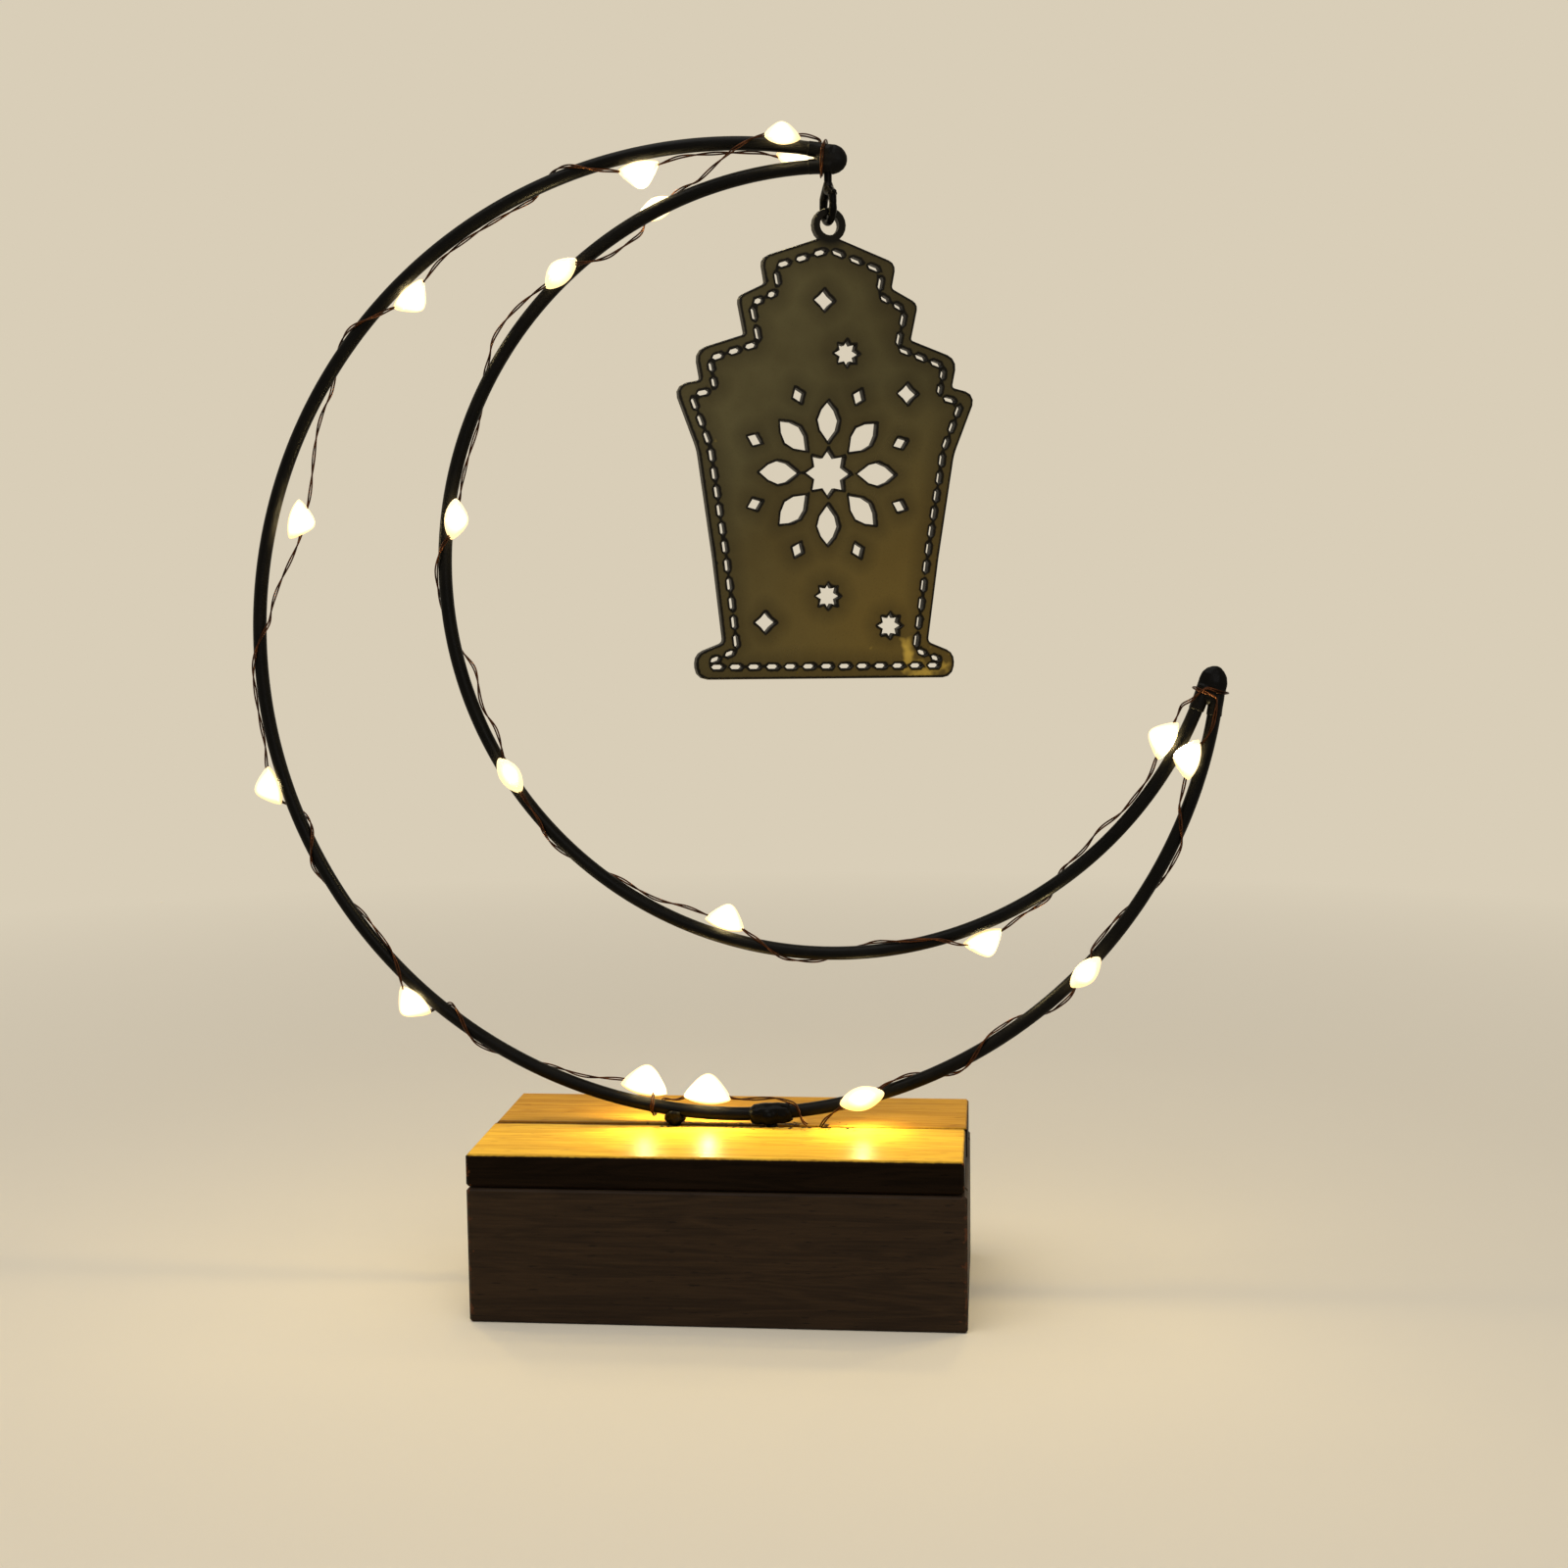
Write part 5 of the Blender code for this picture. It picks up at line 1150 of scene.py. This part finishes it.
def rod_mesh(name, arc, start, end, pieces, radius, step, sides):
    """Round stock along an arc between two angles."""
    shares = [k / pieces for k in range(pieces + 1)]
    points = [arc_point(arc, start + (end - start) * share) + BASE_CENTRE for share in shares]
    values = {
        "Radius": radius,
        "Offset": 0.0,
        "Twist length": 1.0,
        "Step": step,
        "Sides": sides,
        "Material": FINISH["black_paint"],
    }
    return made_by(ROD_STOCK, line_object(name, points), values)


def rods():
    """The two bent rods, from tip to tip."""
    for arc in ARCS:
        mesh = rod_mesh(f"{arc}_line", arc, TOP_TIP[arc], SIDE_TIP[arc], 240, ROD_RADIUS, 1.5 * MM, 24)
        mesh.shade_smooth()
        mesh.set_sharp_from_angle(angle=math.radians(60))
        new_piece(f"{arc}_rod", mesh, ["black_paint"], "black_rod", "lamp", f"{arc}_arc")


def rod_stub(arc, where, back, past, radius):
    """A short length of rod at a tip, from some way back to a little past its end."""
    ends = (arc_angle(arc, where, back), arc_angle(arc, where, -past))
    return rod_mesh("stub_line", arc, *ends, 12, radius, 0.4 * MM, 20)


def tip_pieces():
    """Each tip's cap, run together with the ends of both rods under it."""
    for node, where, back in (("top_tip_cap", TOP_TIP, 2.6 * MM), ("side_tip_cap", SIDE_TIP, 3.2 * MM)):
        parts = [merged_mesh(node)]
        for arc in ARCS:
            parts.append(rod_stub(arc, where, back, 2.0 * MM, ROD_RADIUS + 0.12 * MM))
        ends = [arc_point(arc, where[arc]) for arc in ARCS]
        middle = (ends[0] + ends[1]) / 2 + BASE_CENTRE
        parts.append(ball(middle, 1.35 * MM))
        mesh = melted(f"{node}_form", parts, 0.14 * MM, 8, lumps=0.15 * MM, lump_size=2.2 * MM)
        new_piece(f"{node}_shown", mesh, ["black_paint"], "black_rod", "lamp", node)


def sleeve_piece():
    """Shrunk sleeve with uneven folds that sags to the lid."""
    parts = [merged_mesh("splice_sleeve")]
    for x, z, size in ((5.8, 37.3, 2.0), (8.6, 36.9, 2.3), (11.4, 37.2, 2.1)):
        parts.append(ball(BASE_CENTRE + Vector((x, -0.2, z)) * MM, size * MM, (1.0, 1.0, 0.9)))
    mesh = melted("sleeve_form", parts, 0.12 * MM, 14, lumps=0.4 * MM, lump_size=4.2 * MM)
    new_piece("splice_sleeve_shown", mesh, ["black_shrink"], "black_sleeve", "lamp", "splice_sleeve")


def left_foot_piece():
    """The left peg, with the rough paint of the real one."""
    parts = [merged_mesh("frame_foot_left")]
    mesh = melted("foot_form", parts, 0.12 * MM, 6, lumps=0.5 * MM, lump_size=1.4 * MM)
    new_piece("frame_foot_left_shown", mesh, ["black_paint"], "black_rod", "lamp", "frame_foot_left")


def rounded_bar(stops):
    """Balls in a row along a line of (x, y, z, radius) stops in the clasp's frame, ready to melt."""
    balls = []
    for start, end in zip(stops, stops[1:]):
        start, end = Vector(start), Vector(end)
        steps = max(1, math.ceil((end - start).length / BALL_STEP))
        for k in range(steps + 1):
            stop = start.lerp(end, k / steps)
            balls.append(ball(CLASP_FRAME @ (Vector(stop[:3]) * MM), stop[3] * MM))
    return balls


def hook_form():
    """The hook: a shank, a bow that gets thinner towards its lowest point, a nose and a knuckle."""
    half, bar = CLASP_HALF / MM, CLASP_BAR_RADIUS / MM
    bow = []
    for turn in (math.radians(180 + 15 * k) for k in range(13)):
        height = half + (half + 0.32) * math.sin(turn)
        bow.append((half * math.cos(turn), 0, height, bar + 0.14 * math.sin(turn)))
    shank = [
        (0, 0, 7.1, 0.95),
        (-0.3, 0, 6.0, 1.15),
        (-0.9 * half, 0, 4.5, bar + 0.06),
        (-half, 0, 3.0, bar),
    ]
    nose = [(half, 0, half, bar), (half, 0, half + 0.7, bar - 0.06)]
    knuckle = [(0, 0, 7.1, 0.95), (0.35, 0, 6.0, 1.15), (0.85 * half, 0, 5.2, bar + 0.05)]
    return rounded_bar(shank + bow + nose) + rounded_bar(knuckle)


def lever_form():
    """The sprung lever that closes the hook, with its thumb piece."""
    half, bar = CLASP_HALF / MM, CLASP_BAR_RADIUS / MM
    gate = [(0.9 * half, 0, 5.0, bar), (half, 0, half + 1.2, bar - 0.06)]
    thumb = [(half, 0, 4.9, 0.6), (half + 0.55, 0, 5.3, 0.55)]
    return rounded_bar(gate) + rounded_bar(thumb)


def clasp_pieces():
    """Smooth cast hook that hangs from its swivel pin, and the sprung lever with its rivet."""
    rivet_x = 0.9 * CLASP_HALF / MM
    rivet = rounded_bar([(rivet_x, -0.75, 5.1, 0.32), (rivet_x, 0.75, 5.1, 0.32)])
    neck = rounded_bar([(0, 0, 6.6, 0.8), (0, 0, 9.6, 0.8)])
    for node, body, parts, voxel, rounds in (
        ("clasp_hook", "clasp", hook_form(), 0.09 * MM, 5),
        ("clasp_lever", "gate", lever_form(), 0.08 * MM, 4),
        ("lever_pin", "clasp", rivet, 0.06 * MM, 2),
        ("swivel_pin", "lamp", neck, 0.08 * MM, 3),
    ):
        mesh = melted(f"{node}_form", parts, voxel, rounds)
        new_piece(f"{node}_shown", mesh, ["gunmetal"], "dark_nickel", body, node)


# Pierced plate


def plate_loops():
    """The plate's outlines in its own plane, with the matrix that puts them in place."""
    mesh = merged_mesh("lantern_plate")
    bm = bmesh.new()
    bm.from_mesh(mesh)
    bm.normal_update()
    areas = {}
    for face in bm.faces:
        if face.normal.y < 0:
            direction = tuple(round(part, 3) for part in face.normal)
            areas[direction] = areas.get(direction, 0) + face.calc_area()
    facing = Vector(max(areas, key=areas.get)).normalized()
    depths = [facing.dot(vertex.co) for vertex in bm.verts]
    front, back = max(depths), min(depths)
    across = Vector((0, 0, 1)).cross(facing).normalized()
    up = facing.cross(across)
    origin = facing * (front + back) / 2
    nexts = {}
    for face in bm.faces:
        if face.normal.dot(facing) < 0.9:
            continue
        for loop in face.loops:
            other = loop.link_loop_radial_next.face
            if other.normal.dot(facing) < 0.9:
                nexts[loop.vert.index] = loop.link_loop_next.vert.index
    bm.verts.ensure_lookup_table()
    loops = []
    while nexts:
        start, after = nexts.popitem()
        chain = [start]
        while after != start:
            chain.append(after)
            after = nexts.pop(after)
        loops.append([Vector((bm.verts[k].co.dot(across), bm.verts[k].co.dot(up))) for k in chain])
    bm.free()
    place = Matrix((across, up, facing)).transposed().to_4x4()
    place.translation = origin
    return loops, place, front - back


def cut_back(loop, amount):
    """A closed outline moved by an amount to its left, which is the plate's side of every loop."""
    moved = []
    count = len(loop)
    for k, point in enumerate(loop):
        before, after = point - loop[k - 1], loop[(k + 1) % count] - point
        sides = [Vector((-edge.y, edge.x)).normalized() for edge in (before, after)]
        middle = (sides[0] + sides[1]).normalized()
        moved.append(point + middle * amount / max(0.5, middle.dot(sides[0])))
    return moved


def facts_of(points, loops):
    """For each point: whether it lies on the plate, and how far it is from the nearest edge."""
    inside = np.zeros(len(points), bool)
    nearest = np.full(len(points), np.inf)
    for loop in loops:
        for start, end in zip(loop, loop[1:] + loop[:1]):
            run = np.array(end - start)
            crosses = (points[:, 1] < start.y) != (points[:, 1] < end.y)
            slope = run[0] / run[1] if run[1] else 0.0
            inside ^= crosses & (points[:, 0] < start.x + (points[:, 1] - start.y) * slope)
            offset = points - np.array(start)
            share = np.clip(offset @ run / max(run @ run, 1e-18), 0, 1)
            gap = np.linalg.norm(offset - share[:, None] * run, axis=1)
            nearest = np.minimum(nearest, gap)
    return inside, nearest


def plate_face(loops, bounds):
    """Small triangles that fill the plate's outlines, fine enough to hold the distance to an edge."""
    low, high = bounds
    across = np.arange(low.x, high.x, FACE_STEP)
    up = np.arange(low.y, high.y, FACE_STEP * 0.87)
    grid = [(x + (row % 2) * FACE_STEP / 2, y) for row, y in enumerate(up) for x in across]
    inside, nearest = facts_of(np.array(grid), loops)
    corners = [point for loop in loops for point in loop]
    edges, first = [], 0
    for loop in loops:
        edges += [(first + k, first + (k + 1) % len(loop)) for k in range(len(loop))]
        first += len(loop)
    clear = inside & (nearest > 0.3 * FACE_STEP)
    corners += [Vector(point) for point, fits in zip(grid, clear) if fits]
    points, _, faces, *_ = delaunay_2d_cdt(corners, edges, [], 0, 1e-7)
    middles = np.array([sum((points[k] for k in face), Vector((0, 0))) / 3 for face in faces])
    on_plate, _ = facts_of(middles, loops)
    return points, [face for face, on in zip(faces, on_plate) if on]


def plate():
    """The plate, with each face finely divided, narrow chamfers and its distance to an edge kept."""
    loops, place, thickness = plate_loops()
    inner = [cut_back(loop, EDGE_CHAMFER) for loop in loops]
    flat = [point for loop in loops for point in loop]
    bounds = [Vector((pick(p.x for p in flat), pick(p.y for p in flat))) for pick in (min, max)]
    points, faces = plate_face(inner, bounds)
    _, nearest = facts_of(np.array([tuple(point) for point in points]), loops)
    half, low = thickness / 2, thickness / 2 - EDGE_CHAMFER
    bm = bmesh.new()
    from_edge = bm.verts.layers.float.new("from_edge")
    for way in (1, -1):
        verts = []
        for point, gap in zip(points, nearest):
            verts.append(bm.verts.new((point.x, point.y, way * half)))
            verts[-1][from_edge] = gap
        for face in faces:
            bm.faces.new([verts[k] for k in (face if way > 0 else reversed(face))])
    for loop, rim in zip(loops, inner):
        rings = []
        for outline, height in ((rim, half), (loop, low), (loop, -low), (rim, -half)):
            rings.append([bm.verts.new((point.x, point.y, height)) for point in outline])
        for upper, lower in zip(rings, rings[1:]):
            for k in range(len(loop)):
                after = (k + 1) % len(loop)
                wall = bm.faces.new((upper[k], lower[k], lower[after], upper[after]))
                wall.material_index = 1
    bmesh.ops.remove_doubles(bm, verts=bm.verts, dist=WELD / 2)
    bmesh.ops.transform(bm, matrix=place, verts=bm.verts)
    mesh = bpy.data.meshes.new("plate_form")
    for finish_name in ("gold", "blackened"):
        mesh.materials.append(FINISH[finish_name])
    bm.to_mesh(mesh)
    bm.free()
    new_piece("pierced_plate", mesh, (), "antique_gold", "pendant", "lantern_plate")


def main():
    camera()
    world()
    soft_box("top_light", place=(-0.3, -0.5, 1.9), aim=(0, 0, 0.05), size=1.6, watts=17)
    soft_box("front_light", place=(0.5, -1.3, 0.6), aim=(0, 0, 0.1), size=0.8, watts=3)
    floor()
    for node, finish_name in CAD_FINISHES.items():
        NODES[node].data.materials.clear()
        NODES[node].data.materials.append(FINISH[finish_name])
    for row in ROUND_PIECES:
        round_piece(*row)
    rods()
    tip_pieces()
    sleeve_piece()
    left_foot_piece()
    clasp_pieces()
    strands()
    led_drops()
    plate()
    scene = bpy.context.scene
    scene.view_settings.view_transform = "Standard"


main()
